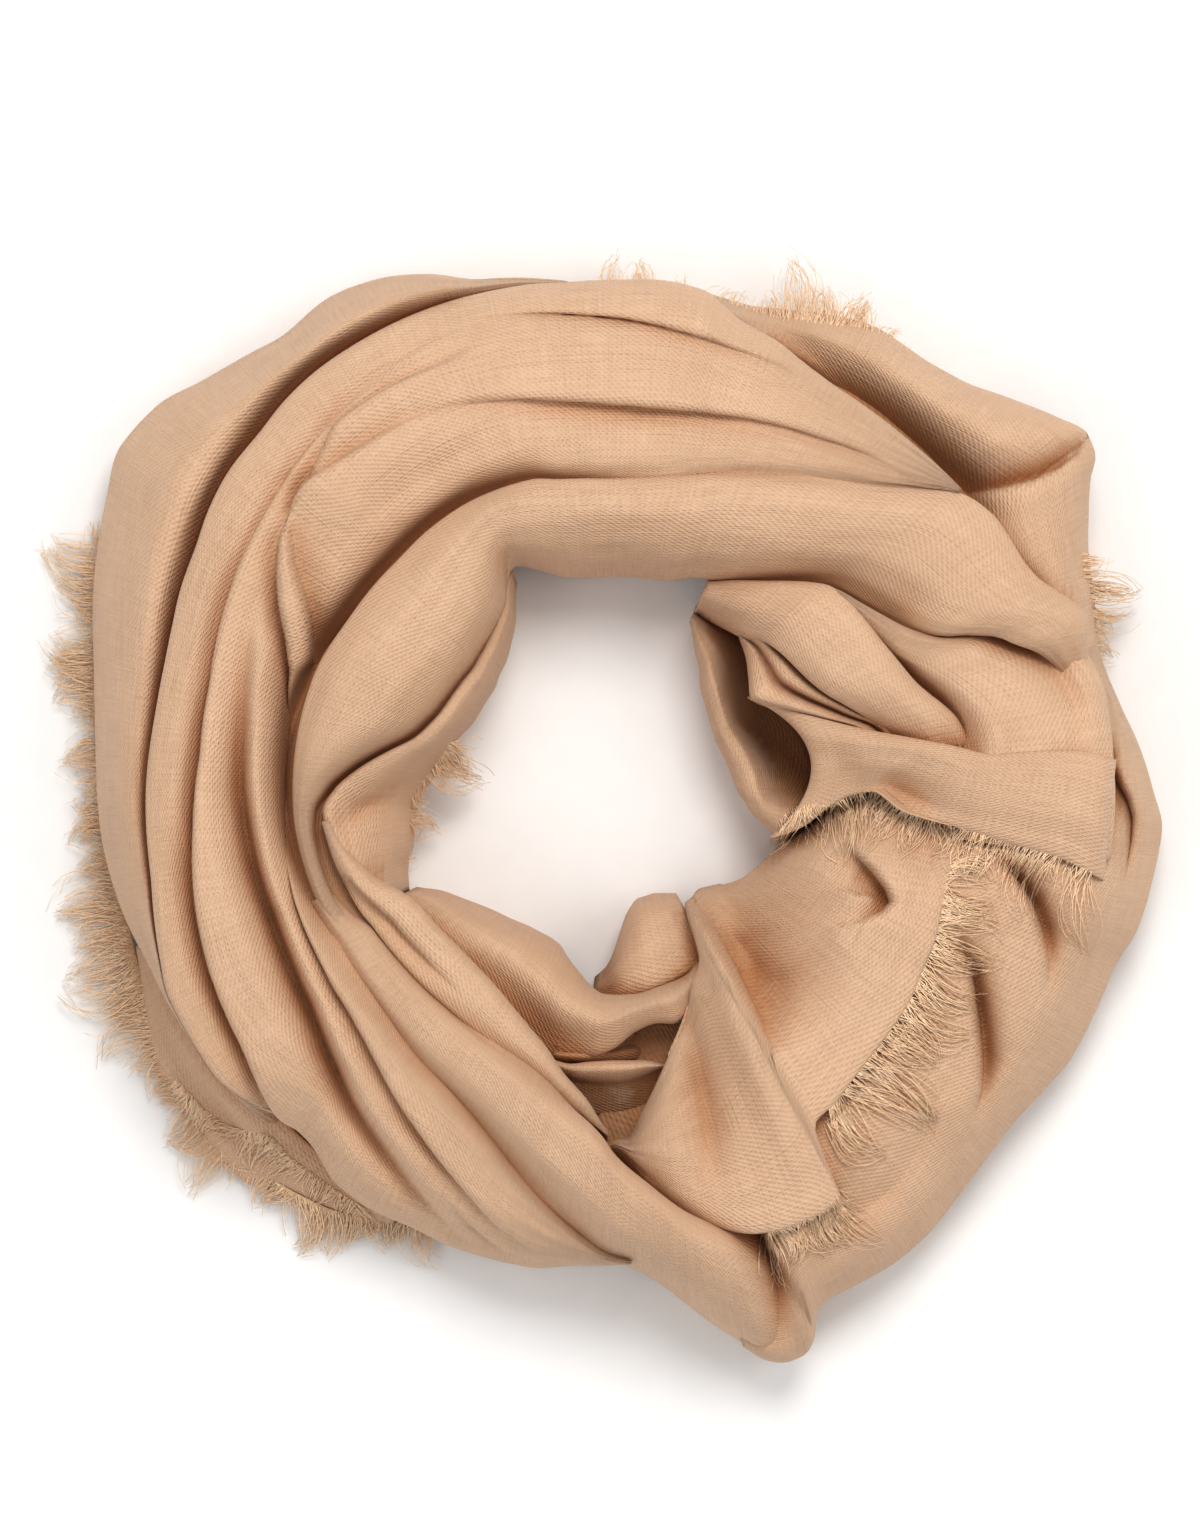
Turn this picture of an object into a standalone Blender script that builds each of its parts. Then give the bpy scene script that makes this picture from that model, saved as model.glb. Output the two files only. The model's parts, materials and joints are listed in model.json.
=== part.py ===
"""Silk scarf wound about twice round into a loose ring and laid flat, fringe on its edges.

The ring is described by sections through its centre. A fold is a line that runs round
the ring: its row gives the angles it runs between and its distance from the ring's
centre at even steps. A stretch of cloth lies between folds: its table has a row for
each line across it, from the outside in, with that line's heights along the stretch.
"""
import math

import bmesh
import bpy
from mathutils import Vector

MM = 0.001

# Driving sizes, in millimetres.
RING_CENTRE = (5.0, 5.0)    # the ring's centre, from the middle of the whole outline
WALL = 1.6                  # thickness of a wall of cloth
SEAM_INSET = 0.3            # each stretch stops this far inside its boundary fold
ON_CORE = None              # a height in a row: just clear of the core there
FLOOR = 0.5                 # lowest edge of a stretch that reaches the table
CORE_CLEARANCE = 3.8        # a stretch's upper face is at least this far above the core
CORE_SIDE_TOP = 30.0        # height where the core's layered side ends
CORE_LAYERS = 4             # folded layers that show at the core's edges
CORE_LAYER_IN = 2.6         # how far the groove between two layers goes in
STATION_STEP = 5.0          # degrees between the sections of a stretch
CORE_STEP = 10.0            # degrees between the sections of the core

# The core's outer and inner radius, every 20 degrees from 0.
CORE_OUTER = (174, 164, 168, 168, 160, 168, 182, 194, 180, 168,
              158, 152, 150, 140, 154, 176, 170, 174)
CORE_INNER = (52, 50, 52, 80, 88, 84, 87, 66, 68, 80,
              90, 74, 66, 84, 62, 54, 60, 70)

# The core's rounded top, from either side to its middle: distance in, height.
CORE_TOP = ((0.0, CORE_SIDE_TOP), (5.0, 37.0), (14.0, 44.0), (26.0, 48.0))

# Folds: first angle, last angle, distance from the ring's centre at even steps between.
FOLDS = {
    # outside, from the upper right over the top and down the left
    "top_edge": (45, 125, (159.5, 160, 162, 170.5, 178.5, 181, 182.5, 182.5, 182)),
    "band_rim": (105, 205, (186, 198, 197.5, 204, 211.5, 200, 189, 183, 181, 178, 173)),
    "band_valley": (105, 265, (183, 182.5, 182, 177, 172, 166.5, 162.5, 162.5, 163, 166,
                               169.5, 170.5, 163, 169, 170, 170, 166.5)),
    # creases over the top
    "crease_a": (45, 125, (155.5, 155.5, 157, 160, 164, 167.5, 170.5, 169, 164)),
    "crease_b": (45, 125, (151.8, 145, 140, 136.5, 134.5, 136.5, 141, 146.5, 148.5)),
    "crease_c": (45, 125, (149, 132.5, 122, 114, 109, 109, 112, 112.5, 111.5)),
    # pleats down the left side
    "pleat_2": (125, 265, (164, 159.5, 154.5, 150, 146, 145, 147.5, 151.5, 155, 158,
                           158, 161, 165, 167, 163)),
    "pleat_3": (125, 265, (163, 155.5, 148.5, 140, 134, 131.5, 131, 131, 131.5, 134.5,
                           141, 149, 158, 163, 160)),
    "pleat_4": (125, 265, (162, 152, 143.5, 127, 118, 115.8, 116, 118, 118, 119,
                           123, 131, 143, 155, 157)),
    "roll_edge": (115, 265, (112.5, 111.5, 110, 110, 111.3, 112, 112, 112, 111, 110,
                             110.5, 112.5, 117.5, 123.5, 137, 155.5)),
    # the roll and the hairpin fold left of the hole
    "roll_crease": (115, 205, (80, 75, 66, 65, 66, 71.5, 89, 104.5, 104.5, 101)),
    "hole_left": (115, 205, (75, 63, 57, 54.5, 55, 58.5, 58, 70, 70, 80)),
    "ridge_outer": (185, 265, (104.5, 104.5, 101, 96.5, 95, 95.5, 98, 103, 114)),
    "ridge_inner": (185, 265, (98, 96, 86, 77.5, 76.5, 78, 83, 92, 108)),
    "flap_outer": (185, 205, (98, 96, 86)),
    "flap_inner": (185, 205, (70, 68, 80)),
    # the bottom
    "bottom_outer": (205, 290, (110, 110, 110.5, 111, 112.5, 115, 117.5, 119.5, 123.5,
                                129, 137, 146, 156, 166, 173, 189, 207, 208)),
    "bottom_inner": (205, 290, (101.2, 99, 96.7, 96, 95.3, 95, 95.5, 96.5, 98, 100, 103,
                                108, 114, 126, 137, 149, 158, 162.5)),
    "lower_outer": (205, 295, (86, 77.5, 76.5, 78, 83, 92, 93, 84, 83.5, 84)),
    "lower_inner": (205, 295, (79, 65.5, 59.5, 57, 56, 60, 71.5, 71, 70, 69)),
    "pocket_outer": (255, 285, (91.5, 107.5, 103.5, 93.5)),
    "pocket_inner": (255, 285, (94.5, 94.5, 94.5, 94)),
    "hole_roll_outer": (265, 305, (71.3, 70.8, 69.8, 66.5, 60)),
    "hole_roll_inner": (265, 305, (60, 44, 39, 39.5, 43)),
    "hem_outer": (200, 240, (184, 187, 186, 182, 176)),
    # the band over the hole, out to the right shoulder
    "main_outer": (25, 115, (168, 163.5, 149, 132.5, 122, 114, 109, 109, 112, 112.5)),
    "main_inner": (5, 115, (128, 118, 109.5, 106.5, 101, 89, 81, 72, 75, 75, 78, 80)),
    "shoulder_outer": (-5, 25, (174.3, 174.5, 171.5, 168)),
    "shoulder_inner": (-5, 25, (131, 130, 118, 109.5)),
    # the twisted bands right of the hole
    "twist_inner": (5, 75, (127.5, 104.5, 93.5, 86, 80.5, 77.5, 76, 75, 73.5, 70, 68.7,
                            68.2, 68.3, 68.8, 69.5)),
    "small_inner": (15, 45, (87.5, 67, 59.5, 66)),
    "end_upper_outer": (-5, 30, (130, 130, 127.5, 104, 86.5, 75, 66, 61.5)),
    "end_upper_inner": (-5, 30, (57, 65, 69, 68, 65.5, 62.5, 59, 57.8)),
    "wall_outer": (-45, 65, (53.5, 65.5, 72.5, 76, 56.3, 68.3, 64.8, 58.3, 57.5, 64,
                             67.5, 67)),
    "hole_right": (-45, 65, (48, 54, 58, 57, 46, 42, 40.3, 39.5, 41, 44.5, 52, 63)),
    # the ends of the cloth and what they lie on, lower right
    "end_lower_outer": (-90, -10, (126, 137, 149, 158, 162.5, 163, 160, 134, 131, 129,
                                   127.5, 126, 124.5, 123, 121.5, 119, 117)),
    "end_lower_inner": (-90, -10, (121, 112, 98, 87, 78, 73, 68.5, 49, 51, 55, 61, 67,
                                   71.5, 74, 76.5, 80, 88)),
    "panel_outer": (-70, -5, (203, 193.5, 193, 191, 187, 184, 182.5, 184, 186, 185, 186,
                              190, 191, 193)),
    "edge_outer": (-5, 15, (193, 189, 185, 180, 177.5)),
    "edge_inner": (-5, 15, (174.4, 174.5, 174.6, 173.1, 171.6)),
    # the open fold at the upper right
    "corner_rim": (15, 80, (177, 180.5, 186, 192, 206, 203, 195, 188.5, 186.5, 190, 185,
                            180, 177.5, 178)),
    "corner_inner": (15, 75, (172.2, 168.8, 164.2, 160.3, 160.8, 162.8, 171.3)),
    # how far the fringe reaches
    "fringe_left_root": (150, 250, (206, 195, 186.3, 182.3, 180, 184.2, 187.2, 186.2,
                                    182.2, 176.2, 170.6)),
    "fringe_left_tip": (150, 250, (212, 213, 202, 192, 198, 203, 202, 203, 196, 182, 177)),
    "fringe_top_root": (60, 90, (190.6, 180.6, 178.6, 180.3)),
    "fringe_top_tip": (60, 90, (195, 191, 185, 190)),
    "fringe_right_root": (15, 25, (177.8, 181.3, 186.8)),
    "fringe_right_tip": (15, 25, (182, 197, 189.5)),
    "fringe_hole_root": (160, 200, (55.5, 55, 60, 66, 68.5)),
    "fringe_hole_tip": (160, 200, (42, 44, 54, 60, 69)),
    "fringe_end_tip": (-60, -10, (172, 147, 142, 140, 136, 134)),
    "fringe_bottom_tip": (-75, -60, (170, 177, 177, 174)),
    "radius_165": (-20, 0, (165, 165)),
    "radius_95": (-20, 0, (95, 95)),
}

# Stretches: first angle, last angle, and a row for each line across, from the outside in:
# (fold, next fold, share of the way to it, heights at even steps along the stretch).
STRETCHES = {
    "left_band": (110, 198, (
        ("band_rim", "band_valley", 0.0, (FLOOR,)),
        ("band_rim", "band_valley", 0.05, (20, 24, 24, 22, 16)),
        ("band_rim", "band_valley", 0.3, (40, 44, 42, 38, 32)),
        ("band_rim", "band_valley", 0.65, (54, 56, 55, 52, 48)),
        ("band_rim", "band_valley", 0.88, (57, 61, 61, 60, 56)),
        ("band_rim", "band_valley", 1.0, (ON_CORE,)))),
    "left_pleats": (125.4, 262, (
        ("band_valley", "pleat_2", 0.0, (ON_CORE, ON_CORE, ON_CORE, ON_CORE, FLOOR, FLOOR)),
        ("band_valley", "pleat_2", 0.12, (56, 58, 58, 56, 20, 16)),
        ("band_valley", "pleat_2", 0.5, (63, 66, 66, 64, 44, 32)),
        ("band_valley", "pleat_2", 1.0, (63, 56, 52, 52, 50, 40)),
        ("pleat_2", "pleat_3", 0.5, (64, 71, 71, 68, 60, 46)),
        ("pleat_2", "pleat_3", 1.0, (64, 68, 50, 50, 54, 48)),
        ("pleat_3", "pleat_4", 0.5, (64, 72, 73, 72, 66, 52)),
        ("pleat_3", "pleat_4", 1.0, (64, 58, 48, 54, 60, 54)),
        ("pleat_4", "roll_edge", 0.45, (70, 64, 46, 66, 70, 58)),
        ("pleat_4", "roll_edge", 0.8, (58, 50, 44, 58, 64, 56)),
        ("pleat_4", "roll_edge", 1.0, (ON_CORE,)))),
    "top_bands": (44.5, 124.7, (
        ("top_edge", "crease_a", 0.0, (ON_CORE, ON_CORE, ON_CORE, FLOOR, FLOOR, ON_CORE, ON_CORE)),
        ("top_edge", "crease_a", 0.15, (54, 56, 54, 24, 24, 52, 54)),
        ("top_edge", "crease_a", 0.55, (60, 62, 62, 52, 54, 60, 62)),
        ("top_edge", "crease_a", 1.0, (60, 62, 60, 55, 54, 58, 63)),
        ("crease_a", "crease_b", 0.6, (61, 67, 68, 66, 66, 66, 64)),
        ("crease_a", "crease_b", 1.0, (61, 62, 60, 58, 57, 58, 62)),
        ("crease_b", "crease_c", 0.35, (62, 68, 70, 71, 70, 70, 70)),
        ("crease_b", "crease_c", 0.75, (63, 68, 70, 70, 66, 60, 58)),
        ("crease_b", "crease_c", 1.0, (60, 64, 66, 64, 54, ON_CORE, ON_CORE)))),
    "inner_roll": (118, 204.5, (
        ("roll_edge", "roll_crease", 0.0, (ON_CORE,)),
        ("roll_edge", "roll_crease", 0.1, (64, 64, 62, 58, 54)),
        ("roll_edge", "roll_crease", 0.35, (76, 80, 80, 68, 60)),
        ("roll_edge", "roll_crease", 0.75, (62, 70, 70, 62, 54)),
        ("roll_edge", "roll_crease", 1.0, (ON_CORE,)))),
    "hook_fold": (120, 186.4, (
        ("roll_crease", "hole_left", 0.0, (ON_CORE,)),
        ("roll_crease", "hole_left", 0.2, (54, 60, 60, 62, 64)),
        ("roll_crease", "hole_left", 0.6, (50, 58, 58, 58, 56)),
        ("roll_crease", "hole_left", 0.93, (30, 32, 32, 30, 26)),
        ("roll_crease", "hole_left", 1.0, (FLOOR,)))),
    "hook_ridge": (187.2, 264, (
        ("ridge_outer", "ridge_inner", 0.0, (ON_CORE,)),
        ("ridge_outer", "ridge_inner", 0.3, (58, 60, 62, 60, 54)),
        ("ridge_outer", "ridge_inner", 0.7, (58, 62, 64, 62, 54)),
        ("ridge_outer", "ridge_inner", 1.0, (ON_CORE,)))),
    "hole_flap": (188, 203, (
        ("flap_outer", "flap_inner", 0.0, (ON_CORE,)),
        ("flap_outer", "flap_inner", 0.3, (48, 47, 46)),
        ("flap_outer", "flap_inner", 0.8, (34, 32, 34)),
        ("flap_outer", "flap_inner", 1.0, (FLOOR,)))),
    "bottom_roll": (205.3, 290, (
        ("bottom_outer", "bottom_inner", 0.0, (ON_CORE, ON_CORE, ON_CORE, ON_CORE, ON_CORE, ON_CORE, ON_CORE,
                                               FLOOR, FLOOR, FLOOR)),
        ("bottom_outer", "bottom_inner", 0.1, (52, 54, 56, 57, 56, 54, 50, 30, 22, 20)),
        ("bottom_outer", "bottom_inner", 0.35, (56, 60, 62, 64, 66, 66, 66, 58, 44, 32)),
        ("bottom_outer", "bottom_inner", 0.65, (56, 60, 64, 66, 70, 72, 73, 70, 60, 40)),
        ("bottom_outer", "bottom_inner", 0.9, (52, 56, 58, 60, 64, 68, 68, 66, 60, 44)),
        ("bottom_outer", "bottom_inner", 1.0, (ON_CORE,)))),
    "lower_roll": (209, 285.5, (
        ("lower_outer", "lower_inner", 0.0, (ON_CORE,)),
        ("lower_outer", "lower_inner", 0.2, (50, 54, 56, 58, 56)),
        ("lower_outer", "lower_inner", 0.6, (50, 56, 58, 58, 56)),
        ("lower_outer", "lower_inner", 0.93, (26, 28, 30, 46, 50)),
        ("lower_outer", "lower_inner", 1.0, (FLOOR, FLOOR, FLOOR, ON_CORE, ON_CORE)))),
    "pocket_band": (260, 280, (
        ("pocket_outer", "pocket_inner", 0.0, (ON_CORE,)),
        ("pocket_outer", "pocket_inner", 0.3, (48, 50, 48)),
        ("pocket_outer", "pocket_inner", 0.75, (50, 53, 51)),
        ("pocket_outer", "pocket_inner", 1.0, (ON_CORE,)))),
    "hole_roll": (269, 298, (
        ("hole_roll_outer", "hole_roll_inner", 0.0, (ON_CORE,)),
        ("hole_roll_outer", "hole_roll_inner", 0.2, (50, 52, 50)),
        ("hole_roll_outer", "hole_roll_inner", 0.65, (44, 46, 42)),
        ("hole_roll_outer", "hole_roll_inner", 0.94, (24, 24, 22)),
        ("hole_roll_outer", "hole_roll_inner", 1.0, (FLOOR,)))),
    "under_hem": (200, 238, (
        ("hem_outer", "band_valley", 0.0, (2.2,)),
        ("hem_outer", "band_valley", 0.4, (9, 10, 8)),
        ("hem_outer", "band_valley", 0.93, (17, 18, 12)))),
    "main_band": (23.2, 117.3, (
        ("main_outer", "main_inner", 0.0, (ON_CORE, ON_CORE, 58, 64, 66, 64, 54, ON_CORE)),
        ("main_outer", "main_inner", 0.08, (58, 62, 66, 68, 70, 70, 66, 62)),
        ("main_outer", "main_inner", 0.3, (66, 72, 76, 77, 77, 77, 77, 77)),
        ("main_outer", "main_inner", 0.65, (60, 70, 74, 74, 68, 66, 66, 64)),
        ("main_outer", "main_inner", 0.94, (56, 60, 62, 60, 30, 28, 28, 30)),
        ("main_outer", "main_inner", 1.0, (ON_CORE, ON_CORE, ON_CORE, ON_CORE, FLOOR, FLOOR, FLOOR,
                                           FLOOR)))),
    "right_shoulder": (-5, 22.4, (
        ("shoulder_outer", "shoulder_inner", 0.0, (ON_CORE,)),
        ("shoulder_outer", "shoulder_inner", 0.08, (58, 60, 58, 56)),
        ("shoulder_outer", "shoulder_inner", 0.35, (69, 68, 60, 58)),
        ("shoulder_outer", "shoulder_inner", 0.7, (74, 75, 72, 66)),
        ("shoulder_outer", "shoulder_inner", 0.93, (75, 74, 68, 62)),
        ("shoulder_outer", "shoulder_inner", 1.0, (74, 66, ON_CORE, ON_CORE)))),
    "end_upper": (-5, 27, (
        ("end_upper_outer", "end_upper_inner", 0.0, (74, 66, ON_CORE, ON_CORE)),
        ("end_upper_outer", "end_upper_inner", 0.12, (75, 71, 60, 54)),
        ("end_upper_outer", "end_upper_inner", 0.5, (70, 68, 62, 56)),
        ("end_upper_outer", "end_upper_inner", 0.85, (56, 60, 58, 54)),
        ("end_upper_outer", "end_upper_inner", 1.0, (ON_CORE,)))),
    "twist_band": (8.5, 68, (
        ("main_inner", "twist_inner", 0.0, (ON_CORE,)),
        ("main_inner", "twist_inner", 0.15, (60, 62, 60, 50)),
        ("main_inner", "twist_inner", 0.5, (66, 69, 66, 54)),
        ("main_inner", "twist_inner", 0.85, (60, 60, 58, 50)),
        ("main_inner", "twist_inner", 1.0, (ON_CORE,)))),
    "small_folds": (15.5, 45, (
        ("twist_inner", "small_inner", 0.0, (ON_CORE,)),
        ("twist_inner", "small_inner", 0.25, (56, 58, 54)),
        ("twist_inner", "small_inner", 0.5, (53, 53, 50)),
        ("twist_inner", "small_inner", 0.75, (56, 57, 52)),
        ("twist_inner", "small_inner", 1.0, (ON_CORE,)))),
    "inner_wall": (-43, 60, (
        ("wall_outer", "hole_right", 0.0, (ON_CORE,)),
        ("wall_outer", "hole_right", 0.3, (47, 46, 45, 46, 46)),
        ("wall_outer", "hole_right", 0.75, (38, 38, 40, 40, 38)),
        ("wall_outer", "hole_right", 0.94, (22, 22, 22, 22, 22)),
        ("wall_outer", "hole_right", 1.0, (FLOOR,)))),
    "end_lower": (-88.5, -12, (
        ("end_lower_outer", "end_lower_inner", 0.0, (ON_CORE,)),
        ("end_lower_outer", "end_lower_inner", 0.07, (58, 64, 66, 66, 68, 66)),
        ("end_lower_outer", "end_lower_inner", 0.35, (60, 66, 70, 68, 70, 70)),
        ("end_lower_outer", "end_lower_inner", 0.7, (58, 64, 60, 52, 56, 62)),
        ("end_lower_outer", "end_lower_inner", 0.93, (56, 58, 50, 47, 48, 52)),
        ("end_lower_outer", "end_lower_inner", 1.0, (ON_CORE,)))),
    "right_panel": (-68.4, -8, (
        ("panel_outer", "end_lower_outer", 0.0, (FLOOR,)),
        ("panel_outer", "end_lower_outer", 0.04, (20, 22, 24, 24, 24)),
        ("panel_outer", "end_lower_outer", 0.25, (44, 50, 52, 56, 58)),
        ("panel_outer", "end_lower_outer", 0.6, (54, 60, 62, 66, 68)),
        ("panel_outer", "end_lower_outer", 0.94, (52, 57, 59, 62, 64)),
        ("panel_outer", "end_lower_outer", 1.0, (ON_CORE,)))),
    "right_edge": (-7, 14.6, (
        ("edge_outer", "edge_inner", 0.0, (FLOOR,)),
        ("edge_outer", "edge_inner", 0.12, (22, 22, 16)),
        ("edge_outer", "edge_inner", 0.6, (46, 46, 42)),
        ("edge_outer", "edge_inner", 1.0, (ON_CORE,)))),
    "corner_flap": (15.6, 75.5, (
        ("corner_rim", "corner_inner", 0.0, (FLOOR,)),
        ("corner_rim", "corner_inner", 0.06, (18, 22, 26, 30, 28, 26, 24, 22, 20, 18)),
        ("corner_rim", "corner_inner", 0.35, (36, 46, 56, 46, 64, 58, 50, 44, 38, 32)),
        ("corner_rim", "corner_inner", 0.75, (44, 50, 56, 52, 58, 54, 50, 46, 44, 42)),
        ("corner_rim", "corner_inner", 1.0, (ON_CORE,)))),
}

# Fringe: a thin plain ribbon of its reach, from its tips to its roots.
FRINGES = {
    "fringe_left": (151, 249, (
        ("fringe_left_tip", "fringe_left_root", 0.0, (2.6,)),
        ("fringe_left_tip", "fringe_left_root", 1.0, (5.5,)))),
    "fringe_top": (60, 89, (
        ("fringe_top_tip", "fringe_top_root", 0.0, (4.0,)),
        ("fringe_top_tip", "fringe_top_root", 1.0, (12.0,)))),
    "fringe_right": (15.5, 25, (
        ("fringe_right_tip", "fringe_right_root", 0.0, (6.0,)),
        ("fringe_right_tip", "fringe_right_root", 1.0, (14.0,)))),
    "fringe_hole": (161, 199, (
        ("fringe_hole_root", "fringe_hole_tip", 0.0, (12.0,)),
        ("fringe_hole_root", "fringe_hole_tip", 1.0, (3.0,)))),
    "fringe_end_upper": (-15, -5.4, (
        ("radius_165", "radius_95", 0.0, (70, 67)),
        ("radius_165", "radius_95", 0.28, (73, 74)),
        ("radius_165", "radius_95", 0.62, (74.5, 76)),
        ("radius_165", "radius_95", 1.0, (75.5, 76)))),
    "fringe_end_lower": (-56.5, -17, (
        ("fringe_end_tip", "end_lower_outer", 0.0, (66, 67, 69, 71)),
        ("end_lower_outer", "end_lower_inner", 0.05, (68, 68, 70, 69.5)))),
    "fringe_bottom": (-74, -61, (
        ("fringe_bottom_tip", "end_lower_outer", 0.0, (62, 64)),
        ("end_lower_outer", "end_lower_inner", 0.061, (65.4, 67.2)))),
}

CLOTH_COLOUR = (0.80, 0.60, 0.40, 1.0)
FRINGE_COLOUR = (0.62, 0.46, 0.30, 1.0)
CORE_COLOUR = (0.70, 0.50, 0.33, 1.0)
CLOTH_ROUGHNESS = 0.62


def between(values, position):
    """A smooth curve through evenly spaced values, read at a position from 0 to 1."""
    if len(values) == 1:
        return float(values[0])
    place = min(max(position, 0.0), 1.0) * (len(values) - 1)
    left = min(int(place), len(values) - 2)
    t = place - left
    before = values[max(left - 1, 0)]
    start = values[left]
    end = values[left + 1]
    after = values[min(left + 2, len(values) - 1)]
    slope_in = 0.5 * (end - before)
    slope_out = 0.5 * (after - start)
    return ((2 * t ** 3 - 3 * t ** 2 + 1) * start + (t ** 3 - 2 * t ** 2 + t) * slope_in
            + (3 * t ** 2 - 2 * t ** 3) * end + (t ** 3 - t ** 2) * slope_out)


def straight_between(values, position):
    """Straight lines through evenly spaced values, read at a position from 0 to 1."""
    if len(values) == 1:
        return float(values[0])
    place = min(max(position, 0.0), 1.0) * (len(values) - 1)
    left = min(int(place), len(values) - 2)
    return values[left] + (values[left + 1] - values[left]) * (place - left)


def fold_radius(name, angle):
    """How far a fold is from the ring's centre at an angle."""
    first, last, radii = FOLDS[name]
    return straight_between(radii, (angle - first) / (last - first))


def ring_point(angle, radius, height):
    """A point of the ring, in metres."""
    turn = math.radians(angle)
    return Vector((RING_CENTRE[0] + radius * math.cos(turn),
                   RING_CENTRE[1] + radius * math.sin(turn), height)) * MM


def stations(first, last):
    """The section angles of a stretch: its two ends and the whole steps between."""
    inside = [k * STATION_STEP for k in range(-30, 80)
              if first + 1.0 < k * STATION_STEP < last - 1.0]
    return [first] + inside + [last]


def core_sides(angle):
    """The core's outer and inner radius at an angle."""
    position = (angle % 360.0) / 360.0
    return (between(CORE_OUTER + CORE_OUTER[:1], position),
            between(CORE_INNER + CORE_INNER[:1], position))


def rest_height(angle, radius):
    """The height just clear of the core, and dropping away outside its two sides."""
    outer, inner = core_sides(angle)
    inset = min(outer - radius, radius - inner)
    top = CORE_SIDE_TOP + inset
    for (near, low), (far, high) in zip(CORE_TOP, CORE_TOP[1:]):
        if inset > near:
            top = low + (high - low) * min((inset - near) / (far - near), 1.0)
    return max(top + CORE_CLEARANCE, FLOOR), inset > 0.0


def row_height(heights, along, angle, radius):
    """A row's height at a point: between its table's heights, and clear of the core."""
    rest, over_core = rest_height(angle, radius)
    height = straight_between([rest if h is ON_CORE else h for h in heights], along)
    return max(height, rest) if over_core else height


def loft(bm, sections, closed=False):
    """Quads between neighbouring sections, each a list of points of the same length."""
    rings = [[bm.verts.new(point) for point in section] for section in sections]
    pairs = list(zip(rings, rings[1:]))
    if closed:
        pairs.append((rings[-1], rings[0]))
    for near, far in pairs:
        count = len(near) if closed else len(near) - 1
        for k in range(count):
            after = (k + 1) % len(near)
            bm.faces.new((near[k], far[k], far[after], near[after]))
    return rings


def material_for(name, colour):
    """The piece's own material."""
    material = bpy.data.materials.new(name + "_finish")
    material.use_nodes = True
    shader = material.node_tree.nodes["Principled BSDF"]
    shader.inputs["Base Color"].default_value = colour
    shader.inputs["Roughness"].default_value = CLOTH_ROUGHNESS
    shader.inputs["Metallic"].default_value = 0.0
    return material


def add_object(name, bm, colour, collection):
    """A named object from the mesh, shaded smooth."""
    mesh = bpy.data.meshes.new(name)
    bm.normal_update()
    bm.to_mesh(mesh)
    bm.free()
    mesh.shade_smooth()
    mesh.materials.append(material_for(name, colour))
    obj = bpy.data.objects.new(name, mesh)
    collection.objects.link(obj)
    return obj


def make_stretch(name, first, last, rows, colour, collection):
    """A stretch of cloth: an open surface across its rows, made a wall by Solidify."""
    sections = []
    for angle in stations(first, last):
        along = (angle - first) / (last - first)
        section = []
        for index, (fold, next_fold, share, heights) in enumerate(rows):
            start = fold_radius(fold, angle)
            radius = start + (fold_radius(next_fold, angle) - start) * share
            if index == 0:
                radius -= SEAM_INSET
            if index == len(rows) - 1:
                radius += SEAM_INSET
            height = row_height(heights, along, angle, radius)
            section.append(ring_point(angle, radius, height))
        sections.append(section)
    bm = bmesh.new()
    loft(bm, sections)
    obj = add_object(name, bm, colour, collection)
    wall = obj.modifiers.new("wall", "SOLIDIFY")
    wall.thickness = WALL * MM
    wall.offset = -1.0
    return obj


def core_section(angle):
    """The core's closed section: two layered sides, a rounded top, a flat underside."""
    outer, inner = core_sides(angle)
    layer = CORE_SIDE_TOP / CORE_LAYERS
    side = []
    for k in range(CORE_LAYERS):
        side.append((CORE_LAYER_IN, layer * k))
        side.append((0.0, layer * (k + 0.5)))
    side.append((CORE_LAYER_IN, CORE_SIDE_TOP))
    side.extend(CORE_TOP[1:])
    going_up = [ring_point(angle, outer - inset, height) for inset, height in side]
    going_down = [ring_point(angle, inner + inset, height) for inset, height in reversed(side)]
    return going_up + going_down


def make_core(collection):
    """The hidden layers under the cloth that shows, as one solid ring."""
    count = round(360.0 / CORE_STEP)
    bm = bmesh.new()
    loft(bm, [core_section(k * CORE_STEP) for k in range(count)], closed=True)
    add_object("core", bm, CORE_COLOUR, collection)


def main():
    for obj in list(bpy.data.objects):
        bpy.data.objects.remove(obj, do_unlink=True)
    collection = bpy.data.collections.new("silk_scarf")
    bpy.context.scene.collection.children.link(collection)
    make_core(collection)
    for name, (first, last, rows) in STRETCHES.items():
        make_stretch(name, first, last, rows, CLOTH_COLOUR, collection)
    for name, (first, last, rows) in FRINGES.items():
        make_stretch(name, first, last, rows, FRINGE_COLOUR, collection)


main()
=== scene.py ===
import json
import math

import bpy
import numpy as np
from bpy.props import FloatProperty, FloatVectorProperty, IntProperty, PointerProperty
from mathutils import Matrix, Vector
from mathutils.bvhtree import BVHTree

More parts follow.
